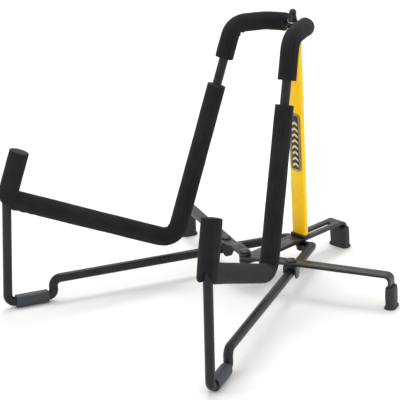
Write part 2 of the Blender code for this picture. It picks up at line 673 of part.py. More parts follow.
def make_foot(name, reach, half_w, parent):
    """A rubber foot: a block with a pocket for the leg's tab and a flange at the floor."""
    pocket_w = half_w + GAP
    pocket_t = LEG_T / 2 + GAP
    body_w = pocket_w + FOOT_WALL
    body_t = FOOT_T / 2
    flange_w = body_w + FOOT_FLANGE
    flange_t = body_t + FOOT_FLANGE
    levels = [
        (0, flange_t, flange_w),
        (FOOT_FLANGE_H * FOOT_FLANGE_FLAT, flange_t, flange_w),
        (FOOT_FLANGE_H, body_t + FOOT_FILLET, body_w + FOOT_FILLET),
        (FOOT_H - FOOT_SHOULDER_H, body_t, body_w),
        (FOOT_H, body_t - FOOT_SHOULDER_IN, body_w - FOOT_SHOULDER_IN),
        (FOOT_H, pocket_t, pocket_w),
        (FOOT_SOLE, pocket_t, pocket_w),
    ]
    rings = []
    for z, t, w in levels:
        place = Matrix.Translation((reach, 0, z))
        rings.append(flat_sized(place, t, w, 4))
    add_object(name, skin(rings, sides=4), "rubber", parent, smooth=False)


def make_middle_leg(root):
    """Slotted flat bar from the side legs' pivot to the rear foot. Its local +X is the stand's +Y."""
    axis = add_empty("middle_leg_axis", turn=math.pi / 2, parent=root)
    middle_z = MIDDLE_LEG_LOW + LEG_T / 2
    points = down_turned([(-HUB_REACH, 0, middle_z, 0)], MIDDLE_LEG_REAR, middle_z)
    rings = leg_rings(points, MIDDLE_LEG_W / 2, SIDE_LEG_W / 2, HUB_TAPER)
    leg = add_object("middle_leg", skin(rings, sides=4), "powder_coat", axis, smooth=False)
    half_slot = STUD_R + SLOT_CLEARANCE
    slot_end = SLIDE_TRAVEL
    slot = bmesh.new()
    ends = []
    for n in range(9):
        angle = math.pi / 2 + math.pi * n / 8
        ends.append((half_slot * math.cos(angle), half_slot * math.sin(angle)))
    for n in range(9):
        angle = -math.pi / 2 + math.pi * n / 8
        ends.append((slot_end + half_slot * math.cos(angle), half_slot * math.sin(angle)))
    face = slot.faces.new([slot.verts.new((x, y, MIDDLE_LEG_LOW - LEG_T)) for x, y in ends])
    grown = bmesh.ops.extrude_face_region(slot, geom=[face])["geom"]
    moved = [g for g in grown if isinstance(g, bmesh.types.BMVert)]
    bmesh.ops.translate(slot, vec=(0, 0, 3 * LEG_T), verts=moved)
    cut_away(leg, "slide_slot", slot)
    shank_r = RIVET_SHANK_D / 2 + GAP
    cut_away(leg, "hub_bore", rod_cutter(shank_r, MIDDLE_LEG_LOW - LEG_T, MIDDLE_LEG_TOP + LEG_T, (-HUB_REACH, 0)))
    make_foot("middle_foot", MIDDLE_LEG_REAR, MIDDLE_LEG_W / 2, axis)
    make_hub(axis)


def make_hub(axis):
    """The rivet and washer that hold both side legs on the middle leg."""
    place = Matrix.Translation((-HUB_REACH, 0, 0))
    shank_r = RIVET_SHANK_D / 2
    head_r = RIVET_HEAD_D / 2
    head_low = SIDE_LEG_Z + 2 * LEG_T + 2 * GAP
    foot_low = MIDDLE_LEG_LOW - GAP
    rivet = turned(
        [
            (0, foot_low - RIVET_HEAD_H),
            (head_r * RIVET_CROWN, foot_low - RIVET_HEAD_H),
            (head_r * RIVET_CROWN, foot_low),
            (shank_r, foot_low),
            (shank_r, head_low),
            (head_r, head_low),
            (head_r * RIVET_CROWN, head_low + RIVET_HEAD_H),
            (0, head_low + RIVET_HEAD_H),
        ]
    )
    bmesh.ops.transform(rivet, matrix=place, verts=rivet.verts)
    add_object("hub_rivet", rivet, "powder_coat", axis)
    ring = washer(HUB_WASHER_D / 2, shank_r + GAP, MIDDLE_LEG_TOP + GAP, HUB_WASHER_T)
    bmesh.ops.transform(ring, matrix=place, verts=ring.verts)
    add_object("hub_washer", ring, "powder_coat", axis)


def make_side_leg(name, side, lifted, root):
    """A flat bar pivoted at the hub, with a rivet over the saddle. Its local +X runs out along the leg."""
    angle = SIDE_LEG_ANGLE if side > 0 else math.pi - SIDE_LEG_ANGLE
    axis = add_empty(name + "_leg_axis", (0, -HUB_REACH, 0), angle, root)
    middle_z = SIDE_LEG_Z + LEG_T / 2
    if lifted:
        hub_z = middle_z + LEG_T + GAP
        start = [(0, 0, hub_z, 0), (JOGGLE_START, 0, hub_z, LEG_BEND_R), (JOGGLE_END, 0, middle_z, LEG_BEND_R)]
    else:
        hub_z = middle_z
        start = [(0, 0, hub_z, 0)]
    points = down_turned(start, SIDE_LEG_LENGTH, middle_z)
    rings = leg_rings(points, SIDE_LEG_W / 2, SIDE_LEG_W / 2, GAP)
    leg = add_object(name + "_side_leg", skin(rings, sides=4), "powder_coat", axis, smooth=False)
    shank_r = RIVET_SHANK_D / 2
    cut_away(leg, name + "_hub_bore", rod_cutter(shank_r + GAP, hub_z - LEG_T, hub_z + LEG_T))
    rivet_bore = rod_cutter(shank_r + GAP, middle_z - LEG_T, middle_z + LEG_T, (LINK_LENGTH, 0))
    cut_away(leg, name + "_rivet_bore", rivet_bore)
    make_foot(name + "_side_foot", SIDE_LEG_LENGTH, SIDE_LEG_W / 2, axis)
    head_low = SIDE_LEG_Z + LEG_T + GAP
    head_r = RIVET_HEAD_D / 2
    rivet = turned(
        [
            (0, SIDE_LEG_Z),
            (shank_r, SIDE_LEG_Z),
            (shank_r, head_low),
            (head_r, head_low),
            (head_r * RIVET_CROWN, head_low + RIVET_HEAD_H),
            (0, head_low + RIVET_HEAD_H),
        ]
    )
    bmesh.ops.translate(rivet, vec=(LINK_LENGTH, 0, 0), verts=rivet.verts)
    add_object(name + "_leg_rivet", rivet, "powder_coat", axis)


def centre_over_origin(root):
    """Moves the stand so that the world's origin is under the middle of its bounding box."""
    bpy.context.view_layer.update()
    graph = bpy.context.evaluated_depsgraph_get()
    ys = []
    for thing in bpy.data.objects:
        if thing.type != "MESH" or thing.display_type == "WIRE":
            continue
        shape = thing.evaluated_get(graph)
        ys += [(shape.matrix_world @ v.co).y for v in shape.data.vertices]
    root.location.y = -(min(ys) + max(ys)) / 2
    bpy.context.view_layer.update()


def main():
    clear_scene()
    root = add_empty("stand")
    make_strut(root)
    make_top_hinge(root)
    make_foot_pivot(root)
    make_frame("right", 1, -1, root)
    make_frame("left", -1, 1, root)
    make_middle_leg(root)
    make_side_leg("right", 1, False, root)
    make_side_leg("left", -1, True, root)
    centre_over_origin(root)


main()
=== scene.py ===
import json
import math

import bmesh
import bpy
from mathutils import Matrix, Vector, noise
from mathutils.bvhtree import BVHTree


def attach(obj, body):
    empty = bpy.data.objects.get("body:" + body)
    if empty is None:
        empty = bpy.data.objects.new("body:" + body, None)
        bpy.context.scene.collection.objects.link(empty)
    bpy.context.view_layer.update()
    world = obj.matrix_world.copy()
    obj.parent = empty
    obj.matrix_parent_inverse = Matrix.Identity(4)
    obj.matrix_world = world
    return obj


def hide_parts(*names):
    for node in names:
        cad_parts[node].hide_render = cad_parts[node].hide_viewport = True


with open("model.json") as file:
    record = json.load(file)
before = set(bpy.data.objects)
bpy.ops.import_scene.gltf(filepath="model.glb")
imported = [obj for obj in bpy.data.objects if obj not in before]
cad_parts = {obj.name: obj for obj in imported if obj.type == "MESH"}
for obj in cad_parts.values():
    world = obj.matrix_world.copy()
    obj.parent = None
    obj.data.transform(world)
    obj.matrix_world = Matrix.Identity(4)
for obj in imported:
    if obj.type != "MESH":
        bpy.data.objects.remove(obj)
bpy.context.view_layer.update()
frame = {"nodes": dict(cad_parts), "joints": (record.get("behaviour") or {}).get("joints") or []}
mm = 0.001

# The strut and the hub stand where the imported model's joints are
joints = {joint["name"]: joint for joint in frame["joints"]}
strutY = joints["right_frame_swing"]["pos_m"][1]
hubY = joints["right_side_leg_swing"]["pos_m"][1]
strutPlace = Matrix.Translation((0, strutY, 0))
sides = {"right": 1, "left": -1}
splay = math.radians(25.3)  # how far each side frame is swung out at rest


def framePlace(side):
    # a side frame is laid out straight ahead of the strut, then swung out
    return strutPlace @ Matrix.Rotation(sides[side] * splay, 4, "Z")


shot = {"target": (-0.0651, 0.0262, 0.0825), "azimuth": 47.2602, "elevation": 21.7013, "roll": -3.0358,
        "distance": 2.2554, "lens": 190.41}


def setCamera():
    azimuth, elevation = math.radians(shot["azimuth"]), math.radians(shot["elevation"])
    back = Vector((
        math.sin(azimuth) * math.cos(elevation), -math.cos(azimuth) * math.cos(elevation), math.sin(elevation),
    ))
    data = bpy.data.cameras.new("camera")
    data.lens = shot["lens"]
    camera = bpy.data.objects.new("camera", data)
    bpy.context.scene.collection.objects.link(camera)
    turn = (-back).to_track_quat("-Z", "Y").to_matrix().to_4x4()
    roll = Matrix.Rotation(math.radians(shot["roll"]), 4, "Z")
    camera.matrix_world = Matrix.Translation(Vector(shot["target"]) + back * shot["distance"]) @ turn @ roll
    bpy.context.scene.camera = camera


def linearColour(hexText):
    channels = [int(hexText[n:n + 2], 16) / 255 for n in (1, 3, 5)]
    return [c / 12.92 if c <= 0.04045 else ((c + 0.055) / 1.055) ** 2.4 for c in channels] + [1.0]


def addNode(tree, kind, settings=None, inputs=None):
    # an input is given a value, or linked from another node's output
    node = tree.nodes.new(kind)
    for name, value in (settings or {}).items():
        setattr(node, name, value)
    for socket, value in (inputs or {}).items():
        if isinstance(value, bpy.types.NodeSocket):
            tree.links.new(value, node.inputs[socket])
        else:
            node.inputs[socket].default_value = value
    return node


studio = {"sky": "#ffffff", "skyStrength": 0.95, "floor": "#f4f4f2", "floorSize": 6.0, "floorRoughness": 0.9,
          "floorSpecular": 0.1}
lamps = [
    # name, place, aimed at, size, watts
    ("topSoftbox", (-0.5, 0.5, 1.9), (0, 0, 0.1), 0.8, 14),
    ("frontSoftbox", (-0.9, -1.8, 1.3), (0, 0, 0.1), 0.7, 8),
    ("rightSoftbox", (2.0, 0.6, 0.9), (0, 0, 0.1), 0.6, 5),
]


def setStudio():
    world = bpy.data.worlds.new("studio")
    world.use_nodes = True
    sky = world.node_tree.nodes["Background"]
    sky.inputs["Color"].default_value = linearColour(studio["sky"])
    sky.inputs["Strength"].default_value = studio["skyStrength"]
    bpy.context.scene.world = world
    bpy.context.scene.view_settings.view_transform = "Standard"
    for name, place, aim, size, watts in lamps:
        data = bpy.data.lights.new(name, "AREA")
        data.shape = "SQUARE"
        data.size = size
        data.energy = watts
        lamp = bpy.data.objects.new(name, data)
        bpy.context.scene.collection.objects.link(lamp)
        turn = (Vector(aim) - Vector(place)).to_track_quat("-Z", "Y").to_matrix().to_4x4()
        lamp.matrix_world = Matrix.Translation(place) @ turn
    bm = bmesh.new()
    bmesh.ops.create_grid(bm, x_segments=1, y_segments=1, size=studio["floorSize"] / 2)
    mesh = bpy.data.meshes.new("floor")
    bm.to_mesh(mesh)
    bm.free()
    paint = bpy.data.materials.new("paleStudioFloor")
    paint.use_nodes = True
    shader = paint.node_tree.nodes["Principled BSDF"]
    shader.inputs["Base Color"].default_value = linearColour(studio["floor"])
    shader.inputs["Roughness"].default_value = studio["floorRoughness"]
    shader.inputs["Specular IOR Level"].default_value = studio["floorSpecular"]
    mesh.materials.append(paint)
    floor = bpy.data.objects.new("floor", mesh)
    bpy.context.scene.collection.objects.link(floor)


setCamera()
setStudio()
print("camera and studio set")


def startMaterial(name, hexText, roughness, sockets=None):
    material = bpy.data.materials.new(name)
    material.use_nodes = True
    material.diffuse_color = linearColour(hexText)
    tree = material.node_tree
    shader = tree.nodes["Principled BSDF"]
    shader.inputs["Base Color"].default_value = linearColour(hexText)
    shader.inputs["Roughness"].default_value = roughness
    for socket, value in (sockets or {}).items():
        shader.inputs[socket].default_value = value
    return material, tree, shader


noiseLook = {"Detail": 2.0, "Roughness": 0.55}
noiseMiddle = {"From Min": 0.3, "From Max": 0.7}  # where most of a noise lies


def layShades(tree, shader, share, shades, height, depth, strength):
    # the share of the second shade, over a bump that is depth mm high
    inputs = {0: share, 6: linearColour(shades[0]), 7: linearColour(shades[1])}
    mix = addNode(tree, "ShaderNodeMix", {"data_type": "RGBA"}, inputs)
    tree.links.new(mix.outputs[2], shader.inputs["Base Color"])
    bump = addNode(tree, "ShaderNodeBump", None, {"Distance": depth * mm, "Strength": strength, "Height": height})
    tree.links.new(bump.outputs["Normal"], shader.inputs["Normal"])


def makeFinish(name, shades, roughness, cloud, grain, depth, sockets=None, laid=False, strength=1.0):
    # Two shades in soft clouds over a bump of fine grain, with sizes in mm
    # Roughness is one value, or a range that follows the clouds
    ranged = isinstance(roughness, tuple)
    material, tree, shader = startMaterial(name, shades[0], roughness[0] if ranged else roughness, sockets)
    if laid:
        spot = addNode(tree, "ShaderNodeAttribute", {"attribute_name": "laid"}).outputs["Vector"]
    else:
        spot = addNode(tree, "ShaderNodeTexCoord").outputs["Object"]
    noises = []
    for size in (cloud, grain):
        inputs = {**noiseLook, "Scale": 1 / (size * mm), "Vector": spot}
        noises.append(addNode(tree, "ShaderNodeTexNoise", None, inputs).outputs["Fac"])
    share = addNode(tree, "ShaderNodeMapRange", None, {**noiseMiddle, "Value": noises[0]}).outputs["Result"]
    if ranged:
        inputs = {**noiseMiddle, "To Min": roughness[0], "To Max": roughness[1], "Value": noises[0]}
        dull = addNode(tree, "ShaderNodeMapRange", None, inputs)
        tree.links.new(dull.outputs["Result"], shader.inputs["Roughness"])
    layShades(tree, shader, share, shades, noises[1], depth, strength)
    return material


def makeSleeveFinish(name, tube, sockets=None):
    # An extruded tube: streaks drawn out along it, with patches and pores between them, sizes in mm
    material, tree, shader = startMaterial(name, tube["shades"][0], tube["roughness"][0], sockets)
    place = addNode(tree, "ShaderNodeAttribute", {"attribute_name": "laid"}).outputs["Vector"]
    scale = (1, 1, tube["drawnOut"])
    long = addNode(tree, "ShaderNodeMapping", None, {"Scale": scale, "Vector": place}).outputs["Vector"]
    noises = {}
    for size, spot in (("streak", long), ("patch", place), ("pore", place)):
        if size in tube:
            inputs = {**noiseLook, "Scale": 1 / (tube[size] * mm), "Vector": spot}
            if size == "patch":
                inputs["Detail"] = tube["patchDetail"]
            noises[size] = addNode(tree, "ShaderNodeTexNoise", None, inputs).outputs["Fac"]
    return material, tree, shader, noises


def makeFoam():
    # Closed-cell nitrile foam tube with an extruded skin: matt, faint streaks along it and fine pores
    # Its cells are about 0.2 mm and are drawn at 0.8 mm, so that they show
    tube = {
        "shades": ("#161819", "#202324"), "roughness": (0.93,), "drawnOut": 0.06, "streak": 1.6, "patch": 20.0,
        "patchDetail": 3.0, "pore": 0.8, "worn": (0.12, 0.42), "relief": 0.12, "strength": 0.7,
    }
    sockets = {"Specular IOR Level": 0.16, "Sheen Weight": 0.03, "Sheen Roughness": 0.6}
    material, tree, shader, noises = makeSleeveFinish("closedCellNitrileFoam", tube, sockets)
    worn = addNode(tree, "ShaderNodeMath", {"operation": "MULTIPLY"}, {0: noises["patch"], 1: noises["streak"]})
    inputs = {"From Min": tube["worn"][0], "From Max": tube["worn"][1], "Value": worn.outputs["Value"]}
    share = addNode(tree, "ShaderNodeMapRange", None, inputs).outputs["Result"]
    relief = addNode(tree, "ShaderNodeMath", {"operation": "ADD"}, {0: noises["pore"], 1: noises["streak"]})
    layShades(tree, shader, share, tube["shades"], relief.outputs["Value"], tube["relief"], tube["strength"])
    return material


def makeSleeveRubber():
    # Extruded rubber sleeve: smoother than the moulded feet, with die lines along it and a slightly blue black
    tube = {
        "shades": ("#23282b", "#30373b"), "roughness": (0.38, 0.52), "drawnOut": 0.04, "streak": 0.9, "patch": 6.0,
        "patchDetail": 2.0, "relief": 0.04,
    }
    material, tree, shader, noises = makeSleeveFinish("extrudedRubberSleeve", tube)
    share = addNode(tree, "ShaderNodeMapRange", None, {**noiseMiddle, "Value": noises["streak"]}).outputs["Result"]
    low, high = tube["roughness"]
    inputs = {**noiseMiddle, "To Min": low, "To Max": high, "Value": noises["patch"]}
    dull = addNode(tree, "ShaderNodeMapRange", None, inputs)
    tree.links.new(dull.outputs["Result"], shader.inputs["Roughness"])
    layShades(tree, shader, share, tube["shades"], noises["streak"], tube["relief"], 1.0)
    return material


foam = makeFoam()
sleeveRubber = makeSleeveRubber()
# Black polyester powder coat on steel: half gloss, with an orange peel that breaks up its highlights
coat = {"shades": ("#131617", "#1d2122"), "roughness": (0.25, 0.36), "cloud": 14, "grain": 0.9, "depth": 0.02}
powderCoat = makeFinish("blackPowderCoatedSteel", **coat, sockets={"Specular IOR Level": 0.45})
# The same on the wire, a little duller than on the flat bars
wireCoat = makeFinish("blackPowderCoatedWire", **coat, sockets={"Specular IOR Level": 0.28})
# The foam where it was cut: greyer on every cut face, partly from its opened cells and partly painted light, so that
# the top discs look lit from above
cutFoamPaintedLight = makeFinish(
    "cutFoamFacePaintedLight", shades=("#292e2f", "#3b4142"), roughness=0.9, cloud=0.7, grain=0.7, depth=0.15,
    sockets={"Specular IOR Level": 0.2}, laid=True, strength=0.8,
)
# Moulded rubber: a dull sheen over a fine spark-eroded mould grain, a little dusty
rubber = makeFinish(
    "mouldedRubber", shades=("#1f2223", "#2b3031"), roughness=(0.5, 0.68), cloud=7, grain=0.5, depth=0.03,
    sockets={"Specular IOR Level": 0.36},
)
# Baked yellow enamel on a steel bar: half gloss with a slight flow ripple
yellowEnamel = makeFinish(
    "yellowBakedEnamel", shades=("#ffd10c", "#fbc408"), roughness=(0.24, 0.34), cloud=30, grain=3.5, depth=0.02,
    sockets={"Specular IOR Level": 0.28, "Coat Weight": 0.12, "Coat Roughness": 0.12},
)
# Printed vinyl film: satin black with a light grain
labelFilm = makeFinish("printedVinylFilm", ("#1a1815", "#2a261f"), roughness=0.38, cloud=5, grain=0.6, depth=0.01)
# Cream printing ink, a little uneven where it was laid thin
labelInk = makeFinish("creamPrintingInk", ("#efdcaa", "#cfae69"), roughness=0.5, cloud=1.2, grain=1.2, depth=0.01)
# Bright zinc plate on steel: metallic, with a fine grain
zincSteel = makeFinish(
    "zincPlatedSteel", shades=("#c6c7c2", "#a3a49c"), roughness=(0.24, 0.4), cloud=2.5, grain=0.4, depth=0.01,
    sockets={"Metallic": 1.0},
)
# Blackened steel: dark oxide over metal, with oily patches that shine more
blackOxide = makeFinish(
    "blackenedSteel", shades=("#242527", "#3a3c3e"), roughness=(0.22, 0.36), cloud=2, grain=0.5, depth=0.01,
    sockets={"Metallic": 0.7},
)
# Injection-moulded black nylon: satin, with a fine grain
nylon = makeFinish("mouldedNylon", ("#161718", "#212324"), roughness=(0.36, 0.5), cloud=3, grain=0.35, depth=0.02)
print("finishes made")


def finishPiece(name, bm, material, body, nodes=(), place=None, sharp=38, cutMaterial=None):
    bmesh.ops.remove_doubles(bm, verts=bm.verts, dist=0.002 * mm)
    bmesh.ops.recalc_face_normals(bm, faces=bm.faces)
    if place is not None:
        bmesh.ops.transform(bm, matrix=place, verts=bm.verts)
    mesh = bpy.data.meshes.new(name)
    bm.to_mesh(mesh)
    bm.free()
    mesh.shade_smooth()
    mesh.set_sharp_from_angle(angle=math.radians(sharp))
    mesh.materials.append(material)
    if cutMaterial:  # for faces of material index 1
        mesh.materials.append(cutMaterial)
    piece = bpy.data.objects.new(name, mesh)
    bpy.context.scene.collection.objects.link(piece)
    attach(piece, body)
    if nodes:
        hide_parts(*nodes)
    return piece


def finishOnFrame(side, name, node, bm, material, sharp=38, cutMaterial=None):
    body, place = side + "_frame", framePlace(side)
    return finishPiece(side + name, bm, material, body, [side + "_" + node], place, sharp, cutMaterial)


def inMetres(sizes):
    return {name: size * mm for name, size in sizes.items()}


def arcPoints(centre, wide, high, first, last, steps):
    # from the first to the last angle in degrees, round a circle or an ellipse
    turns = [math.radians(first + (last - first) * n / steps) for n in range(steps + 1)]
    return [(centre[0] + wide * math.cos(turn), centre[1] + high * math.sin(turn)) for turn in turns]


def extrudeLoop(bm, edges):
    grown = bmesh.ops.extrude_edge_only(bm, edges=edges)["geom"]
    verts = [g for g in grown if isinstance(g, bmesh.types.BMVert)]
    return verts, [g for g in grown if isinstance(g, bmesh.types.BMEdge)]


arcStep = math.radians(6)


def bendPoints(before, corner, after, radius):
    a = (before - corner).normalized()
    b = (after - corner).normalized()
    turn = math.pi - a.angle(b)
    setback = radius * math.tan(turn / 2)
    centre = corner + (a + b).normalized() * (radius / math.cos(turn / 2))
    start = corner + a * setback - centre
    axis = start.cross(corner + b * setback - centre).normalized()
    steps = max(3, math.ceil(turn / arcStep))
    return [centre + Matrix.Rotation(turn * n / steps, 3, axis) @ start for n in range(steps + 1)]


def layWire(corners, run=2.5 * mm):
    # Stations along a centre line through (x, y, z, bend radius) corners
    # Each has its distance along, its place (side, up, heading) and how sharply the line turns there
    places = [Vector(corner[:3]) for corner in corners]
    bent = [places[0]]
    for n in range(1, len(corners) - 1):
        bent += bendPoints(places[n - 1], places[n], places[n + 1], corners[n][3])
    bent.append(places[-1])
    points = bent[:1]
    for a, b in zip(bent, bent[1:]):
        parts = max(1, round((b - a).length / run))
        points += [a.lerp(b, n / parts) for n in range(1, parts + 1)]
    steps = [(b - a).normalized() for a, b in zip(points, points[1:])]
    steps = steps[:1] + steps + steps[-1:]
    up = Vector((0, 0, 1))
    along = 0.0
    stations = []
    for n, point in enumerate(points):
        heading = (steps[n] + steps[n + 1]).normalized()
        up = (up - heading * up.dot(heading)).normalized()
        turn = Matrix((up.cross(heading), up, heading)).transposed()
        if n:
            along += (point - points[n - 1]).length
        gap = (points[min(n + 1, len(points) - 1)] - points[max(n - 1, 0)]).length / 2
        bend = turn.transposed() @ ((steps[n + 1] - steps[n]) / gap)
        stations.append({"along": along, "place": Matrix.Translation(point) @ turn.to_4x4(), "bend": bend})
    return stations


def stationAt(stations, along):
    last = len(stations) - 2
    n = next((n for n in range(last) if along <= stations[n + 1]["along"]), last)
    a, b = stations[n], stations[n + 1]
    share = (along - a["along"]) / (b["along"] - a["along"])
    if 0 <= share <= 1:
        place = a["place"].lerp(b["place"], share)
    else:  # past an end, straight on
        nearest = b if share > 1 else a
        place = nearest["place"] @ Matrix.Translation((0, 0, along - nearest["along"]))
    return {"along": along, "place": place, "bend": a["bend"].lerp(b["bend"], min(1, max(0, share)))}


def stretch(stations, start, end, least=0.4 * mm):
    between = [s for s in stations if start + least < s["along"] < end - least]
    return [stationAt(stations, start)] + between + [stationAt(stations, end)]


def nearestAlong(stations, point):
    best = (math.inf, 0.0)
    for a, b in zip(stations, stations[1:]):
        start, step = a["place"].translation, b["place"].translation - a["place"].translation
        share = min(1.0, max(0.0, (point - start).dot(step) / step.length_squared))
        apart = (start + step * share - point).length
        best = min(best, (apart, a["along"] + (b["along"] - a["along"]) * share))
    return best[1]


def ringAt(station, wide, thick=None):
    return {**station, "wide": wide, "thick": thick or wide}


def sweep(rings, around, capped=True, shape=None):
    # Extrudes a circle from ring to ring, then gives each point its own reach and shift
    bm = bmesh.new()
    ringOf = bm.verts.layers.int.new("ring")
    laid = bm.verts.layers.float_vector.new("laid")
    scaled = [r["place"] @ Matrix.Diagonal((r["wide"], r["thick"], 1, 1)) for r in rings]
    made = bmesh.ops.create_circle(bm, segments=around, radius=1, cap_ends=capped, matrix=scaled[0])
    edges = list({e for v in made["verts"] for e in v.link_edges})
    for n in range(1, len(rings)):
        verts, edges = extrudeLoop(bm, edges)
        bmesh.ops.transform(bm, matrix=scaled[n] @ scaled[n - 1].inverted(), verts=verts)
        for v in verts:
            v[ringOf] = n
    if capped:
        bmesh.ops.contextual_create(bm, geom=edges)
    inverse = [m.inverted() for m in scaled]
    for v in bm.verts:
        ring = rings[v[ringOf]]
        local = inverse[v[ringOf]] @ v.co
        angle = math.atan2(local.y, local.x)
        swell, shift = shape(ring, angle) if shape else (0.0, 0.0)
        side = (ring["wide"] + swell) * math.cos(angle)
        height = (ring["thick"] + swell) * math.sin(angle)
        v.co = ring["place"] @ Vector((side, height, shift))
        v[laid] = (side, height, ring["along"] + shift)
    return bm


# The side frames' wire, as each lies straight ahead of the strut: side, reach ahead and height, all in mm
wire = inMetres({
    "radius": 4.9, "offset": 16.1, "baseHeight": 24.9, "footHeight": 7.0, "lowerOffset": 11.8, "topOffset": 17.6,
    "lowerReach": 138.0, "lowerHeight": 46.9, "armLength": 192.3, "backLength": 239.8, "postLength": 52.4,
    "footAhead": 8.5, "footLength": 50.1, "hingeDrop": 5.5, "kneeReach": 24.0, "kneeDrop": 1.3,
    "hingeCorner": 15.5, "hookReach": 5.0, "topFoam": 6.0, "weldGap": 0.6, "endEdge": 0.5,
})
wireAngle = {"armRise": math.radians(23.5), "backLean": math.radians(19.1), "postLean": math.radians(19.9)}
bendRadius = inMetres({
    "hook": 12, "stepHigh": 8, "stepLow": 6, "foot": 8, "post": 40, "hinge": 10, "knee": 40, "top": 17,
    "lower": 15.5,
})

topReach = wire["lowerReach"] - wire["backLength"] * math.sin(wireAngle["backLean"])
topHeight = wire["lowerHeight"] + wire["backLength"] * math.cos(wireAngle["backLean"])
hingeHeight = topHeight - wire["hingeDrop"]
armReach = wire["lowerReach"] + wire["armLength"] * math.cos(wireAngle["armRise"])
armHeight = wire["lowerHeight"] + wire["armLength"] * math.sin(wireAngle["armRise"])
footReach = armReach + wire["footAhead"]
stepReach = footReach - wire["footLength"]


def baseWire(side):
    # eye under the strut, hook, base rod, step, foot, front rod and post
    x = sides[side] * wire["offset"]
    rodLength = wire["postLength"] - wire["topFoam"]
    postReach = armReach - rodLength * math.sin(wireAngle["postLean"])
    postHeight = armHeight + rodLength * math.cos(wireAngle["postLean"])
    return layWire([
        (0, 0, wire["baseHeight"], 0),
        (x, -wire["hookReach"], wire["baseHeight"], bendRadius["hook"]),
        (x, -stepReach, wire["baseHeight"], bendRadius["stepHigh"]),
        (x, -stepReach, wire["footHeight"], bendRadius["stepLow"]),
        (x, -footReach, wire["footHeight"], bendRadius["foot"]),
        (x, -armReach, armHeight, bendRadius["post"]),
        (x, -postReach, postHeight, 0),
    ])


def backWire(side):
    # eye at the hinge, top rod, backrest and arm, which ends against the post's rod
    way = sides[side]
    toPost = wire["radius"] + wire["weldGap"]
    return layWire([
        (0, 0, hingeHeight, 0),
        (way * wire["hingeCorner"], 0, hingeHeight, bendRadius["hinge"]),
        (way * wire["topOffset"], -wire["kneeReach"], topHeight - wire["kneeDrop"], bendRadius["knee"]),
        (way * wire["topOffset"], -topReach, topHeight, bendRadius["top"]),
        (way * wire["lowerOffset"], -wire["lowerReach"], wire["lowerHeight"], bendRadius["lower"]),
        (
            way * wire["offset"], -armReach + toPost * math.cos(wireAngle["armRise"]),
            armHeight - toPost * math.sin(wireAngle["armRise"]), 0,
        ),
    ])


eye = inMetres({
    "halfWidth": 6.25, "halfThick": 1.6, "pitch": 3.5, "highFlat": 6.6, "highTaper": 5.4, "lowFlat": 11,
    "lowTaper": 9, "lowTop": 28.2,
})
eyeSteps = 6  # rings from the flat eye to the round rod
ringPoints = {"rod": 24, "foam": 40, "post": 64, "footSleeve": 32}


def eyedRod(stations, eyeHeight, flat, taper):
    # a round rod with its first end pressed flat into an eye
    lift = Matrix.Translation((0, 0, eyeHeight - stations[0]["place"].translation.z))
    rings = []
    for degrees in (80, 66, 50, 34, 17, 0):
        back = eye["halfWidth"] * math.sin(math.radians(degrees))
        half = eye["halfWidth"] * math.cos(math.radians(degrees))
        start = stationAt(stations, 0)
        place = lift @ start["place"] @ Matrix.Translation((0, 0, -back))
        rings.append(ringAt({**start, "place": place}, half, eye["halfThick"]))
    for station in stretch(stations, 0, flat)[1:]:
        rings.append(ringAt({**station, "place": lift @ station["place"]}, eye["halfWidth"], eye["halfThick"]))
    for n in range(1, eyeSteps):
        share = n / eyeSteps
        eased = share * share * (3 - 2 * share)
        station = stationAt(stations, flat + taper * share)
        settled = Matrix.Translation(lift.translation * (1 - eased))
        wide = eye["halfWidth"] + (wire["radius"] - eye["halfWidth"]) * eased
        thick = eye["halfThick"] + (wire["radius"] - eye["halfThick"]) * eased
        rings.append(ringAt({**station, "place": settled @ station["place"]}, wide, thick))
    end = stations[-1]["along"]
    edge = wire["endEdge"]
    rings += [ringAt(s, wire["radius"]) for s in stretch(stations, flat + taper, end - edge)]
    rings.append(ringAt(stationAt(stations, end), wire["radius"] - edge))
    return sweep(rings, ringPoints["rod"])


def addRods(side):
    # the left frame's eyes lie on the right frame's
    level = -sides[side]
    lowEye = eye["lowTop"] - eye["halfThick"] - (0 if level > 0 else eye["pitch"])
    highEye = hingeHeight + level * eye["pitch"] / 2
    base = eyedRod(baseWire(side), lowEye, eye["lowFlat"], eye["lowTaper"])
    back = eyedRod(backWire(side), highEye, eye["highFlat"], eye["highTaper"])
    finishOnFrame(side, "BaseRod", "base_rod", base, wireCoat)
    finishOnFrame(side, "BackRod", "back_rod", back, wireCoat)


for side in sides:
    addRods(side)
print("rods swept")


foamSize = inMetres({
    "postRadius": 10.4, "backRadius": 9.6, "bore": 4.95, "cutEdge": 0.7, "belowArm": 8.0,
    "hingeCover": 0.5 * 10 * math.pi / 2, "wave": 0.22, "waveSize": 26, "lump": 0.1, "lumpSize": 7,
    "wrinkle": 0.5, "wrinklePitch": 5.2, "thinning": 0.35,
})
skinOver = foamSize["bore"] * 1.1  # a ring wider than this is on a tube's skin
ridge = {"height": 0.35, "away": 1.6}  # the foam pushed up beside a crease, against its depth and spread
crease = inMetres({"topDepth": 2.4, "topSpread": 2.6, "lowDepth": 1.1, "lowSpread": 2.2})
foamEnds = {  # how far down the back the upper sleeve ends and the lower one starts
    "right": inMetres({"upperEnd": 42.5, "backStart": 67.5}),
    "left": inMetres({"upperEnd": 37.0, "backStart": 66.5}),
}
slit = {  # in the front of each post's foam, where the rod leaves it; the left one is cut wider
    "right": {"half": math.radians(40), "rise": 13 * mm, "power": 0.85, "fade": 16 * mm, "lobe": 0.7 * mm},
    "left": {"half": math.radians(95), "rise": 11 * mm, "power": 1.25, "fade": 20 * mm, "lobe": 0.1 * mm},
}


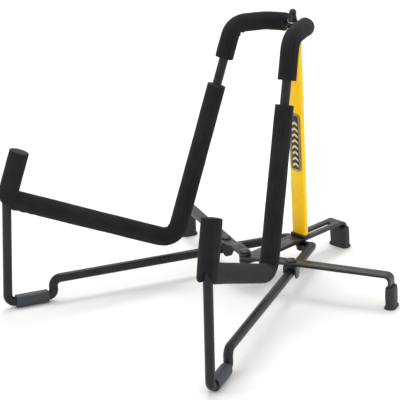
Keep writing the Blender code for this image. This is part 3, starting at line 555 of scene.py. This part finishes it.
def foamSurface(seed, creases=()):
    # How foam stands off its plain tube: slow waves, small lumps, wrinkles inside a bend and thinning outside it
    # A crease is (distance along, depth, spread)
    def shape(ring, angle):
        if ring["wide"] < skinOver:
            return 0.0, 0.0
        way = Vector((math.cos(angle), math.sin(angle), 0))
        spot = way * ring["wide"] + Vector((0, 0, ring["along"]))
        swell = foamSize["wave"] * noise.noise(spot / foamSize["waveSize"] + Vector((seed, 0, 0)))
        swell += foamSize["lump"] * noise.noise(spot / foamSize["lumpSize"] + Vector((0, seed, 0)))
        squeeze = ring["wide"] * ring["bend"].to_2d().dot(way.to_2d())
        if squeeze > 0:
            wobble = noise.noise(spot / foamSize["lumpSize"] + Vector((0, 0, seed)))
            swell += foamSize["wrinkle"] * squeeze * math.sin(
                2 * math.pi * ring["along"] / foamSize["wrinklePitch"] + 2.5 * wobble + seed
            )
            for along, depth, spread in creases:
                inside = ring["bend"].to_2d().normalized().dot(way.to_2d())
                apart = abs(ring["along"] - along) / spread
                pushed = ridge["height"] * math.exp(-(apart - ridge["away"]) ** 2)
                swell -= depth * max(0, inside) ** 3 * (math.exp(-apart) - pushed)
        else:
            swell += foamSize["thinning"] * squeeze
        return swell, 0.0
    return shape


def roundedEdge(stations, at, reach, radius, drop, degrees):
    # rings round a cut edge, which runs along from its face by reach and in from the skin by drop
    rings = []
    for lean in map(math.radians, degrees):
        station = stationAt(stations, at + reach * (1 - math.cos(lean)))
        rings.append(ringAt(station, radius - drop * (1 - math.sin(lean))))
    return rings


def tubeRings(stations, start, end, startRadius, endRadius, bore, edge):
    # A tube's loop of rings: out along its skin with a softened cut edge at both ends, and back along its bore
    rings = roundedEdge(stations, start, edge, startRadius, edge, (0, 45))
    for station in stretch(stations, start + edge, end - edge):
        share = (station["along"] - start) / (end - start)
        rings.append(ringAt(station, startRadius + (endRadius - startRadius) * share))
    rings += roundedEdge(stations, end, -edge, endRadius, edge, (45, 0))
    inside = [ringAt(station, bore) for station in stretch(stations, start, end)]
    return rings + inside[::-1] + rings[:1]


def markCuts(bm, cutRings):
    # the second material goes on faces between these rings
    ringOf = bm.verts.layers.int["ring"]
    for face in bm.faces:
        if all(v[ringOf] in cutRings for v in face.verts):
            face.material_index = 1


def markTubeEnds(bm, rings):
    skin = [n for n, r in enumerate(rings[:-1]) if r["wide"] > skinOver]
    markCuts(bm, {0, 1, len(rings) - 2, len(rings) - 1, skin[-1], skin[-1] + 1, skin[-2]})


def downTheBack(side, distance):
    top = Vector((sides[side] * wire["topOffset"], -topReach, topHeight))
    low = Vector((sides[side] * wire["lowerOffset"], -wire["lowerReach"], wire["lowerHeight"]))
    return top + (low - top).normalized() * distance


def addUpperFoam(side):
    # over the top rod and the top bend, where its inside corner creases
    stations = backWire(side)
    start = wire["hingeCorner"] - bendRadius["hinge"] + foamSize["hingeCover"]
    end = nearestAlong(stations, downTheBack(side, foamEnds[side]["upperEnd"]))
    bendMiddle = nearestAlong(stations, downTheBack(side, 0))
    radius = foamSize["backRadius"]
    rings = tubeRings(stations, start, end, radius, radius, foamSize["bore"], foamSize["cutEdge"])
    surface = foamSurface(3.1 + sides[side], [(bendMiddle, crease["topDepth"], crease["topSpread"])])
    bm = sweep(rings, ringPoints["foam"], False, surface)
    markTubeEnds(bm, rings)
    return finishOnFrame(side, "UpperFoam", "upper_sleeve", bm, foam, 50, cutFoamPaintedLight)


# Where the arm's foam ends on the post's: how it is coped, and how its underside bunches up
cope = inMetres({
    "lowest": 30, "highest": 25, "narrowFrom": 4, "narrowOver": 9, "overRod": 0.6, "sink": 0.35, "short": 4.6,
    "back": 12, "reach": 60, "ringStep": 0.4,
})
rumple = inMetres({"height": 0.55, "pitch": 9.5, "reach": 34})


def postMeetsArm(side, stations):
    return nearestAlong(stations, Vector((sides[side] * wire["offset"], -armReach, armHeight)))


def plainPost(side):
    # a plain tube round the post, for the arm's foam to end on
    stations = baseWire(side)
    meets = postMeetsArm(side, stations)
    rings = []
    for station in stretch(stations, meets - cope["lowest"], meets + cope["highest"]):
        # towards the post foam's lower end it narrows to the rod
        below = (meets - cope["narrowFrom"] - station["along"]) / cope["narrowOver"]
        shrink = min(1, max(0, below)) * (foamSize["postRadius"] - wire["radius"] - cope["overRod"])
        rings.append(ringAt(station, foamSize["postRadius"] - cope["sink"] - shrink))
    bm = sweep(rings, ringPoints["post"])
    tree = BVHTree.FromBMesh(bm)
    bm.free()
    return tree


def addBackFoam(side):
    # down the backrest, round the lower bend and out along the arm, where it is coped to the post's foam
    stations = backWire(side)
    start = nearestAlong(stations, downTheBack(side, foamEnds[side]["backStart"]))
    end = stations[-1]["along"] - cope["short"]
    corner = Vector((sides[side] * wire["lowerOffset"], -wire["lowerReach"], wire["lowerHeight"]))
    bendMiddle = nearestAlong(stations, corner)
    rings = tubeRings(
        stations, start, end, foamSize["backRadius"], foamSize["postRadius"], foamSize["bore"], foamSize["cutEdge"]
    )
    endRing = len([r for r in rings if r["wide"] > skinOver]) - 2  # the last ring of the skin
    surface = foamSurface(7.7 + sides[side], [(bendMiddle, crease["lowDepth"], crease["lowSpread"])])

    def shape(ring, angle):
        swell, shift = surface(ring, angle)
        toEnd = end - ring["along"]
        if ring["wide"] > skinOver and toEnd < rumple["reach"]:
            under = max(0, -math.sin(angle)) ** 2
            fade = (1 - toEnd / rumple["reach"]) * under
            swell += rumple["height"] * fade * math.sin(2 * math.pi * toEnd / rumple["pitch"] + 1.1)
        return swell, shift

    bm = sweep(rings, ringPoints["foam"], False, shape)
    post = plainPost(side)
    ringOf = bm.verts.layers.int["ring"]
    axis = rings[endRing]["place"].translation
    heading = rings[endRing]["place"].to_3x3().col[2]
    for v in bm.verts:
        if v[ringOf] in (endRing, endRing - 1):
            away = v.co - axis
            away.x *= 0.965  # so that the widest points still meet the post
            hit = post.ray_cast(axis + away - heading * cope["back"], heading, cope["reach"])
            if hit[0] is not None:
                v.co += heading * (heading.dot(hit[0] - v.co) - (endRing - v[ringOf]) * cope["ringStep"])
    markTubeEnds(bm, rings)
    return finishOnFrame(side, "BackFoam", "back_sleeve", bm, foam, 50, cutFoamPaintedLight)


# The post's foam: its rounded lower edge, the seam of its top disc and how much the slit sinks
postFoam = inMetres({
    "roll": 3.6, "rollDrop": 2.88, "overRod": 0.2, "seamBelow": 3.4, "seamDepth": 0.35, "seamHalf": 0.6,
    "crown": 0.9, "slitSink": 0.5,
})


def addPostFoam(side):
    # a tube closed by a disc on top and slit in front, where the rod comes out of it
    stations = baseWire(side)
    start = postMeetsArm(side, stations) - foamSize["belowArm"]
    rodEnd = stations[-1]["along"]
    end = rodEnd + wire["topFoam"]
    radius, edge, bore = foamSize["postRadius"], foamSize["cutEdge"], foamSize["bore"]
    roll, crown, seamHalf = postFoam["roll"], postFoam["crown"], postFoam["seamHalf"]
    rings = [ringAt(s, bore) for s in stretch(stations, start, rodEnd + postFoam["overRod"])][::-1]
    rings += roundedEdge(stations, start, roll, radius, postFoam["rollDrop"], (0, 18, 36, 54, 72))
    seam = end - postFoam["seamBelow"]
    rings += [ringAt(s, radius) for s in stretch(stations, start + roll, seam - seamHalf)]
    rings.append(ringAt(stationAt(stations, seam), radius - postFoam["seamDepth"]))
    rings += [ringAt(stationAt(stations, along), radius) for along in (seam + seamHalf, end - crown - edge)]
    rings += roundedEdge(stations, end - crown, -edge, radius, edge, (45, 0))
    for share in (0.8, 0.6, 0.4, 0.2, 0.06):
        rings.append(ringAt(stationAt(stations, end - crown * share * share), radius * share))
    surface = foamSurface(12.9 + sides[side])
    own = slit[side]

    def shape(ring, angle):
        swell, shift = surface(ring, angle)
        if ring["along"] > end - crown - edge * 1.5:
            swell *= ring["wide"] / radius
        fade = max(0.0, 1 - (ring["along"] - start) / own["fade"])
        fromFront = abs(math.remainder(angle + math.pi / 2, 2 * math.pi))
        opened = max(0.0, 1 - fromFront / own["half"]) ** own["power"]
        lobe = math.exp(-((fromFront - own["half"] * 1.25) / 0.5) ** 2)
        if ring["wide"] > skinOver:
            swell += own["lobe"] * lobe * fade ** 2 - postFoam["slitSink"] * opened * fade
        return swell, shift + own["rise"] * opened * fade

    bm = sweep(rings, ringPoints["post"], True, shape)
    # the top disc takes the cut foam's greyer shade, which is partly painted light
    markCuts(bm, set(range(len(rings) - 6, len(rings))))  # the top disc
    return finishOnFrame(side, "PostFoam", "post_sleeve", bm, foam, 50, cutFoamPaintedLight)


for side in sides:
    for piece in (addUpperFoam(side), addBackFoam(side), addPostFoam(side)):
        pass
print("foam sleeves fitted")


footSleeve = inMetres({
    "radius": 7.0, "bore": 5.0, "edge": 0.5, "clear": 0.5, "wave": 0.12, "waveLength": 9, "flat": 0.25,
})


def addFootSleeve(side):
    stations = baseWire(side)
    x = sides[side] * wire["offset"]
    heel = Vector((x, -stepReach - bendRadius["stepLow"], wire["footHeight"]))
    toe = Vector((x, -footReach + bendRadius["foot"], wire["footHeight"]))
    start = nearestAlong(stations, heel) + footSleeve["clear"]
    end = nearestAlong(stations, toe) - footSleeve["clear"]
    radius = footSleeve["radius"]
    rings = tubeRings(stations, start, end, radius, radius, footSleeve["bore"], footSleeve["edge"])

    def shape(ring, angle):
        if ring["wide"] < footSleeve["bore"] * 1.1:
            return 0.0, 0.0
        spot = Vector((math.cos(angle), math.sin(angle), ring["along"] / footSleeve["waveLength"]))
        swell = footSleeve["wave"] * noise.noise(spot)
        below = max(0, -math.sin(angle))  # it doesn't swell into the floor
        return swell - footSleeve["flat"] * max(0, math.cos(angle)) ** 4 - max(0, swell) * below, 0.0

    bm = sweep(rings, ringPoints["footSleeve"], False, shape)
    finishOnFrame(side, "FootSleeve", "foot_sleeve", bm, sleeveRubber, 45)


for side in sides:
    addFootSleeve(side)
print("foot sleeves fitted")


leg = inMetres({
    "thick": 3.3, "edge": 0.45, "middleHalf": 10.0, "middleRear": 61.9, "hubReach": 84.4, "hubTaper": 14.0,
    "sideHalf": 6.35, "sideLength": 162.7, "joggleStart": 24.0, "joggleEnd": 32.0, "bend": 6.0, "sideZ": 33.7,
    "middleTop": 31.8, "link": 52.27, "pivotHole": 2.8, "slotHalf": 2.8, "slotEnd": 43.93, "tabFoot": 5.3,
    "nose": 12.0, "gap": 0.3, "rivetReach": 65.08, "rivetAside": 48.57,
})
# from straight across towards the back, with the stand open
legAngle = math.atan2(leg["hubReach"] - leg["rivetReach"], leg["rivetAside"])

nearly = 0.01 * mm  # less than this is level with the middle plane
edgeSteps = ((0.29, 0.71), (0.71, 0.29))  # a rounded edge as two steps: how far in and how far up each goes


def cutBlank(outline, holes=(), thick=leg["thick"], edge=leg["edge"]):
    # A flat shape's outline and holes, filled, thickened and rounded along its edges, about its middle plane
    bm = bmesh.new()
    for loop in (outline, *holes):
        verts = [bm.verts.new((s, w, 0)) for s, w in loop]
        for a, b in zip(verts, verts[1:] + verts[:1]):
            bm.edges.new((a, b))
    bmesh.ops.triangle_fill(bm, use_beauty=True, edges=bm.edges, normal=(0, 0, 1))
    flat = list(bm.faces)
    grown = bmesh.ops.extrude_face_region(bm, geom=flat)["geom"]
    moved = [g for g in grown if isinstance(g, bmesh.types.BMVert)]
    bmesh.ops.translate(bm, vec=(0, 0, thick / 2 - edge), verts=moved)
    under = [f for f in bm.faces if max(v.co.z for v in f.verts) < nearly]
    bmesh.ops.delete(bm, geom=under, context="FACES_ONLY")
    bmesh.ops.recalc_face_normals(bm, faces=bm.faces)
    top = [f for f in bm.faces if min(v.co.z for v in f.verts) > nearly]
    if top[0].normal.z < 0:
        bmesh.ops.reverse_faces(bm, faces=bm.faces)
    for inward, upward in edgeSteps:
        bmesh.ops.inset_region(
            bm, faces=top, thickness=edge * inward, depth=edge * upward, use_boundary=True, use_even_offset=True,
        )
    bmesh.ops.mirror(bm, geom=bm.verts[:] + bm.edges[:] + bm.faces[:], merge_dist=0.001 * mm, axis="Z")
    return bm


def bendBar(bm, stations, origin):
    # slices the flat bar at every station of its bends, then lays it along the line
    for station in stations:
        if station["bend"].length > 1:
            bmesh.ops.bisect_plane(
                bm, geom=bm.verts[:] + bm.edges[:] + bm.faces[:], dist=0.001 * mm,
                plane_co=(station["along"] - origin, 0, 0), plane_no=(1, 0, 0),
            )
    for v in bm.verts:
        place = stationAt(stations, v.co.x + origin)["place"]
        v.co = place @ Vector((v.co.y, v.co.z, 0))
    return bm


def roundHole(centre, radius):
    return arcPoints((centre, 0), radius, radius, 0, 360, 20)[:-1]


def slotHole(start, end, half):
    return arcPoints((start, 0), half, half, 90, 270, 8) + arcPoints((end, 0), half, half, -90, 90, 8)


def barOutline(noseHalf, half, taper, end, corner=1.2 * mm):
    # round nose about the origin, widening over the taper, and a tab end with small cut corners
    lower = arcPoints((0, 0), noseHalf, noseHalf, 180, 270, 10)[1:]
    if taper:
        shares = [n / 6 for n in range(1, 7)]
        lower += [(taper * s, -noseHalf - (half - noseHalf) * (3 * s ** 2 - 2 * s ** 3)) for s in shares]
    lower += [(end - corner, -half), (end - corner * 0.3, -half + corner * 0.3), (end, -half + corner)]
    return [(-noseHalf, 0)] + lower + [(s, -w) for s, w in lower[::-1]]


middlePlace = strutPlace @ Matrix.Rotation(math.pi / 2, 4, "Z")  # along is towards the back


def addMiddleLeg():
    middleZ = leg["middleTop"] - leg["thick"] / 2
    start = -leg["hubReach"] - leg["nose"]
    stations = layWire([
        (start, 0, middleZ, 0), (leg["middleRear"], 0, middleZ, leg["bend"]),
        (leg["middleRear"], 0, leg["tabFoot"], 0),
    ])
    origin = -leg["hubReach"] - start
    outline = barOutline(leg["sideHalf"], leg["middleHalf"], leg["hubTaper"], stations[-1]["along"] - origin)
    holes = [
        roundHole(0, leg["pivotHole"]),
        slotHole(leg["hubReach"], leg["hubReach"] + leg["slotEnd"], leg["slotHalf"]),
    ]
    bm = bendBar(cutBlank(outline, holes), stations, origin)
    finishPiece("middleLegBar", bm, powderCoat, "middle_leg", ["middle_leg"], middlePlace, 30)


def legPlace(side):
    angle = legAngle if side == "right" else math.pi - legAngle
    return Matrix.Translation((0, hubY, 0)) @ Matrix.Rotation(angle, 4, "Z")


def addSideLeg(side):
    # the left leg steps up over the right one at the hub
    low = leg["sideZ"] + leg["thick"] / 2
    high = low + leg["thick"] + leg["gap"]
    start = -leg["nose"]
    corners = [(start, 0, low, 0)]
    if side == "left":
        corners = [(start, 0, high, 0), (leg["joggleStart"], 0, high, leg["bend"])]
        corners.append((leg["joggleEnd"], 0, low, leg["bend"]))
    corners += [(leg["sideLength"], 0, low, leg["bend"]), (leg["sideLength"], 0, leg["tabFoot"], 0)]
    stations = layWire(corners)
    rivetAlong = nearestAlong(stations, Vector((leg["link"], 0, low)))
    outline = barOutline(leg["sideHalf"], leg["sideHalf"], 0, stations[-1]["along"] + start)
    holes = [roundHole(0, leg["pivotHole"]), roundHole(rivetAlong + start, leg["pivotHole"])]
    bm = bendBar(cutBlank(outline, holes), stations, -start)
    body = side + "_side_leg"
    finishPiece(side + "LegBar", bm, powderCoat, body, [body], legPlace(side), 30)


addMiddleLeg()
for side in sides:
    addSideLeg(side)
print("legs cut and bent")


strut = inMetres({
    "halfWidth": 9.5, "thick": 5.0, "low": 33.8, "topCorner": 7.0, "footCorner": 0.8, "edge": 0.9, "stack": 3.65,
    "gap": 0.3, "washer": 1.0, "washerRadius": 5.7, "hole": 2.8,
})
standUpright = Matrix.Rotation(math.pi / 2, 4, "X")  # stands a flat shape up, its face to the front


def softLoop(corners):
    # a closed outline through (along, across, corner radius) points
    places = [Vector((s, w, 0)) for s, w, radius in corners]
    points = []
    for n, (s, w, radius) in enumerate(corners):
        if radius:
            after = places[(n + 1) % len(places)]
            points += [(p.x, p.y) for p in bendPoints(places[n - 1], places[n], after, radius)]
        else:
            points.append((s, w))
    return points


def softBox(halfWidth, low, high, lowCorner, highCorner):
    return softLoop([
        (-halfWidth, low, lowCorner), (halfWidth, low, lowCorner), (halfWidth, high, highCorner),
        (-halfWidth, high, highCorner),
    ])


def joined(parts):
    whole = bmesh.new()
    for part in parts:
        mesh = bpy.data.meshes.new("part")
        part.to_mesh(mesh)
        part.free()
        whole.from_mesh(mesh)
        bpy.data.meshes.remove(mesh)
    return whole


def addStrut():
    high = hingeHeight - strut["stack"] - strut["washer"] - strut["gap"]
    outline = softBox(strut["halfWidth"], strut["low"], high, strut["footCorner"], strut["topCorner"])
    bar = cutBlank(outline, (), strut["thick"], strut["edge"])
    finishPiece("strutBar", bar, yellowEnamel, "spine", ["strut"], strutPlace @ standUpright)


label = inMetres({
    "halfWidth": 7.7, "low": 107.5, "high": 171.5, "thick": 0.5, "corner": 4.0, "ink": 0.16, "inkEdge": 0.04,
    "outerInset": 0.5, "outerLine": 0.45, "innerInset": 1.7, "innerLine": 0.35, "mark": 4.2, "markStroke": 2.7,
    "markSlant": 2.4, "markPitch": 6.6, "markInset": 6.6, "plateEdge": 0.1, "printLift": 0.02,
})


def addLabel():
    # a film plate with two border lines and a plain column of chevrons
    face = -strut["thick"] / 2 - strut["gap"] - label["thick"] / 2
    place = strutPlace @ Matrix.Translation((0, face, 0)) @ standUpright

    def border(inset):
        corner = label["corner"] - inset
        return softBox(label["halfWidth"] - inset, label["low"] + inset, label["high"] - inset, corner, corner)

    plate = cutBlank(border(0), (), label["thick"], label["plateEdge"])
    finishPiece("labelFilmPlate", plate, labelFilm, "spine", ["label_plate"], place)
    printed = []
    for way in ("outer", "inner"):
        inset, line = label[way + "Inset"], label[way + "Line"]
        printed.append(cutBlank(border(inset), [border(inset + line)], label["ink"], label["inkEdge"]))
    along = label["low"] + label["markInset"]
    half, stroke, slant = label["mark"], label["markStroke"], label["markSlant"]
    while along < label["high"] - label["markInset"]:
        chevron = [
            (-half, along - slant), (0, along), (half, along - slant), (half, along - slant + stroke),
            (0, along + stroke), (-half, along - slant + stroke),
        ]
        printed.append(cutBlank(chevron, (), label["ink"], label["inkEdge"]))
        along += label["markPitch"]
    onFace = Matrix.Translation((0, 0, label["thick"] / 2 + label["printLift"]))
    finishPiece("labelPrint", joined(printed), labelInk, "spine", (), place @ onFace)


def spun(corners, closed=True, around=40):
    # turns an outline of (radius, height, corner radius) points about the upright axis
    profile = softLoop(corners)
    bm = bmesh.new()
    verts = [bm.verts.new((reach, 0, height)) for reach, height in profile]
    pairs = list(zip(verts, verts[1:])) + ([(verts[-1], verts[0])] if closed else [])
    edges = [bm.edges.new(pair) for pair in pairs]
    bmesh.ops.spin(
        bm, geom=verts + edges, cent=(0, 0, 0), axis=(0, 0, 1), angle=2 * math.pi, steps=around, use_merge=True
    )
    return bm


def washerShape(radius, hole, low, thick, edge=0.25 * mm):
    high = low + thick
    return spun([(hole, low, 0), (radius, low, edge), (radius, high, edge), (hole, high, edge * 0.6)])


nut = inMetres({
    "collarHeight": 7.6, "collarLow": 4.8, "collarHigh": 3.4, "lip": 1.1, "lipStep": 0.5, "lipCorner": 0.3,
    "stepCorner": 0.15, "topCorner": 0.6, "dome": 3.9, "domeHeight": 5.2, "wall": 1.6,
})


def addTopHinge():
    lowWasher = hingeHeight - strut["stack"] - strut["washer"]
    highWasher = hingeHeight + strut["stack"]
    for name, low, level in (("hingeWasherUnder", lowWasher, "low"), ("hingeWasherOver", highWasher, "high")):
        ring = washerShape(strut["washerRadius"], strut["hole"], low, strut["washer"])
        finishPiece(name, ring, zincSteel, "spine", ["hinge_washer_" + level], strutPlace)
    low = highWasher + strut["washer"] + strut["gap"]
    high = low + nut["collarHeight"]
    lip, wide = low + nut["lip"], nut["collarLow"]
    collar = spun([
        (strut["hole"], low, 0), (wide, low, nut["lipCorner"]), (wide, lip, nut["lipCorner"]),
        (wide - nut["lipStep"], lip, nut["stepCorner"]), (nut["collarHigh"], high, nut["topCorner"]),
        (strut["hole"], high, 0),
    ])
    finishPiece("hingeCollarCone", collar, nylon, "spine", ["hinge_collar"], strutPlace)
    low = high + strut["gap"]
    band = low + nut["domeHeight"] - nut["dome"]
    crown = [(*point, 0) for point in arcPoints((0, band), nut["dome"], nut["dome"], 0, 90, 9)[:-1]]
    blind = low + nut["domeHeight"] - nut["wall"]
    inside = [(0, blind, 0), (strut["hole"], blind, 0), (strut["hole"], low, 0), (nut["dome"], low, nut["lipCorner"])]
    dome = spun(inside + crown + [(0, low + nut["domeHeight"], 0)], False)
    finishPiece("domeNut", dome, blackOxide, "spine", ["dome_nut"], strutPlace)


def loft(levels, capped=True):
    # Extrudes a rounded rectangle through levels of (height, half length, half width, corner radius)
    rows = []
    for height, long, wide, corner in levels:
        rows.append([])
        for first, x, y in ((0, 1, 1), (90, -1, 1), (180, -1, -1), (270, 1, -1)):
            centre = (x * (long - corner), y * (wide - corner))
            rows[-1] += [(*point, height) for point in arcPoints(centre, corner, corner, first, first + 90, 6)]
    bm = bmesh.new()
    spotOf = bm.verts.layers.int.new("spot")
    verts = [bm.verts.new(point) for point in rows[0]]
    for n, v in enumerate(verts):
        v[spotOf] = n
    edges = [bm.edges.new(pair) for pair in zip(verts, verts[1:] + verts[:1])]
    if capped:
        bmesh.ops.contextual_create(bm, geom=edges)
    for row in rows[1:]:
        verts, edges = extrudeLoop(bm, edges)
        for v in verts:
            v.co = row[v[spotOf]]
    if capped:
        bmesh.ops.contextual_create(bm, geom=edges)
    return bm


shoe = inMetres({
    "halfWidth": 10.4, "halfDepth": 5.0, "thick": 2.4, "socket": 1.0, "corner": 1.2, "edge": 0.35,
    "socketCorner": 0.2, "boreCorner": 2.79,
})


def addShoe():
    # a plate with a bore, and a rim round the strut's foot, as one outline of stacked loops
    half, depth, edge, corner = shoe["halfWidth"], shoe["halfDepth"], shoe["edge"], shoe["corner"]
    low = leg["middleTop"] + strut["gap"]
    high = low + shoe["thick"]
    bore = (strut["hole"], strut["hole"], shoe["boreCorner"])
    socket = (strut["halfWidth"] + strut["gap"], strut["thick"] / 2 + strut["gap"], shoe["socketCorner"])
    eased = (half - edge, depth - edge, corner - edge)
    floor = high - shoe["socket"]
    levels = [
        (low, *bore), (low, *eased), (low + edge, half, depth, corner), (high - edge, half, depth, corner),
        (high, *eased), (high, *socket), (floor, *socket), (floor, *bore), (low, *bore),
    ]
    finishPiece("slideShoeBlock", loft(levels, False), nylon, "spine", ["slide_shoe"], strutPlace)


addStrut()
addLabel()
addTopHinge()
addShoe()
print("strut, label and hinge built")


saddle = inMetres({
    "reach": 79.6, "length": 13.0, "wall": 1.6, "crest": 3.0, "under": 1.2, "bore": 5.5, "topCorner": 1.4,
    "edge": 0.4, "shoulder": 2.5, "rodGap": 0.3, "outerCorner": 0.5, "innerCorner": 0.3,
})
cheek = {"levels": 8, "tip": 0.3}  # the tip is how much of its length is left at the bottom


def addSaddle(side):
    # a strap folded over the base rod, with a solid crest under the side leg
    inner, outer = saddle["bore"], saddle["bore"] + saddle["wall"]
    outerCorner, innerCorner = saddle["outerCorner"], saddle["innerCorner"]
    crest = wire["radius"] + saddle["rodGap"] + saddle["crest"]
    low = -inner - saddle["under"]
    levels = [low * n / cheek["levels"] for n in range(cheek["levels"])]
    corners = [(-outer, low, outerCorner)] + [(-outer, height, 0) for height in levels[::-1]]
    corners += [(-outer, crest, saddle["topCorner"]), (outer, crest, saddle["topCorner"])]
    corners += [(outer, height, 0) for height in levels] + [(outer, low, outerCorner), (inner, low, innerCorner)]
    corners += [(inner, height, 0) for height in levels[:0:-1]]
    corners += [(*point, 0) for point in arcPoints((0, 0), inner, inner, 0, 180, 16)]
    corners += [(-inner, height, 0) for height in levels[1:]] + [(-inner, low, innerCorner)]
    strap = cutBlank(softLoop(corners), (), saddle["length"], saddle["edge"])
    for v in strap.verts:  # the cheeks narrow to a round tip
        down = min(1, max(0, (v.co.y - saddle["shoulder"]) / (low - saddle["shoulder"])))
        v.co.z *= cheek["tip"] + (1 - cheek["tip"]) * math.sqrt(1 - down * down)
    spot = Matrix.Translation((sides[side] * wire["offset"], -saddle["reach"], wire["baseHeight"]))
    bmesh.ops.transform(strap, matrix=spot @ standUpright, verts=strap.verts)
    finishOnFrame(side, "SaddleStrap", "saddle", strap, powderCoat, 50)


rivet = inMetres({
    "head": 5.8, "height": 1.6, "crown": 2.1, "rim": 0.5, "rimCorner": 0.2, "shank": 2.5, "flat": 4.64, "edge": 0.5,
    "gap": 0.3, "hubGap": 0.6, "washer": 6.0, "washerThick": 1.3,
})


def rivetDome(high):
    # the outline of a rivet's upper head, from its shank to its middle
    head, top = rivet["head"], high + rivet["crown"]
    dome = arcPoints((0, high + rivet["rim"]), head, rivet["crown"] - rivet["rim"], 0, 90, 8)[:-1]
    corners = [(rivet["shank"], high, 0), (head, high, rivet["rimCorner"])]
    return corners + [(*point, 0) for point in dome] + [(0, top, 0)]


def addRivets():
    low = leg["middleTop"] - leg["thick"] - rivet["gap"]
    high = leg["sideZ"] + 2 * leg["thick"] + rivet["hubGap"]
    tail, tailEnd = rivet["flat"], low - rivet["height"]
    corners = [(0, tailEnd, 0), (tail, tailEnd, rivet["edge"]), (tail, low, 0), (rivet["shank"], low, 0)]
    hub = spun(corners + rivetDome(high), False)
    place = Matrix.Translation((0, hubY, 0))
    finishPiece("hubRivet", hub, powderCoat, "middle_leg", ["hub_rivet"], place, 45)
    ring = washerShape(rivet["washer"], strut["hole"], leg["middleTop"] + rivet["gap"], rivet["washerThick"])
    finishPiece("hubWasher", ring, powderCoat, "middle_leg", ["hub_washer"], place, 45)
    high = leg["sideZ"] + leg["thick"] + rivet["gap"]
    for side in sides:
        pin = spun([(0, leg["sideZ"], 0), (rivet["shank"], leg["sideZ"], 0)] + rivetDome(high), False)
        spot = legPlace(side) @ Matrix.Translation((leg["link"], 0, 0))
        body, node = side + "_side_leg", side + "_leg_rivet"
        finishPiece(side + "LegRivet", pin, powderCoat, body, [node], spot, 45)


foot = inMetres({
    "height": 24.0, "halfThick": 4.85, "wall": 1.4, "flange": 1.4, "flangeCorner": 5.0, "sole": 5.0, "clear": 0.3,
    "mouthLong": 0.4, "mouthWide": 0.2, "mouthCorner": 0.7, "mouthDepth": 0.5, "pocketCorner": 0.5,
})
# (height, how far in) in mm: from the floor over the flange, then up the slightly barrelled body
flangeSteps = ((0, 0.7), (0.2, 0.25), (0.7, 0), (1.6, 0), (2.3, 0.3), (2.8, 0.85), (3.2, 1.25), (4.4, 1.4))
bodySteps = ((9, -0.18), (14, -0.25), (19, -0.1), (22, 0.1), (23, 0.35), (23.7, 0.9), (24, 1.5))


def addFoot(name, body, node, reach, half, place):
    # one moulding, with a pocket for the leg's tab
    long, wide, pocketCorner = leg["thick"] / 2 + foot["clear"], half + foot["clear"], foot["pocketCorner"]
    bodyWide = wide + foot["wall"]
    loops = (
        (flangeSteps, foot["halfThick"] + foot["flange"], bodyWide + foot["flange"], foot["flangeCorner"]),
        (bodySteps, foot["halfThick"], bodyWide, foot["flangeCorner"] - foot["flange"]),
    )
    levels = []
    for steps, halfLong, halfWide, corner in loops:
        levels += [(up * mm, halfLong - step * mm, halfWide - step * mm, corner - step * mm) for up, step in steps]
    levels += [
        (foot["height"], long + foot["mouthLong"], wide + foot["mouthWide"], foot["mouthCorner"]),
        (foot["height"] - foot["mouthDepth"], long, wide, pocketCorner), (foot["sole"], long, wide, pocketCorner),
    ]
    bm = loft(levels)
    bmesh.ops.translate(bm, vec=(reach, 0, 0), verts=bm.verts)
    finishPiece(name, bm, rubber, body, [node], place, 45)


for side in sides:
    addSaddle(side)
    body, node = side + "_side_leg", side + "_side_foot"
    addFoot(side + "SideFoot", body, node, leg["sideLength"], leg["sideHalf"], legPlace(side))
addRivets()
addFoot("rearFoot", "middle_leg", "middle_foot", leg["middleRear"], leg["middleHalf"], middlePlace)
for node in ("hinge_stud", "slide_stud", "slide_washer", "slide_nut"):
    frame["nodes"][node].material_slots[0].material = blackOxide
print("saddles, rivets and feet built")
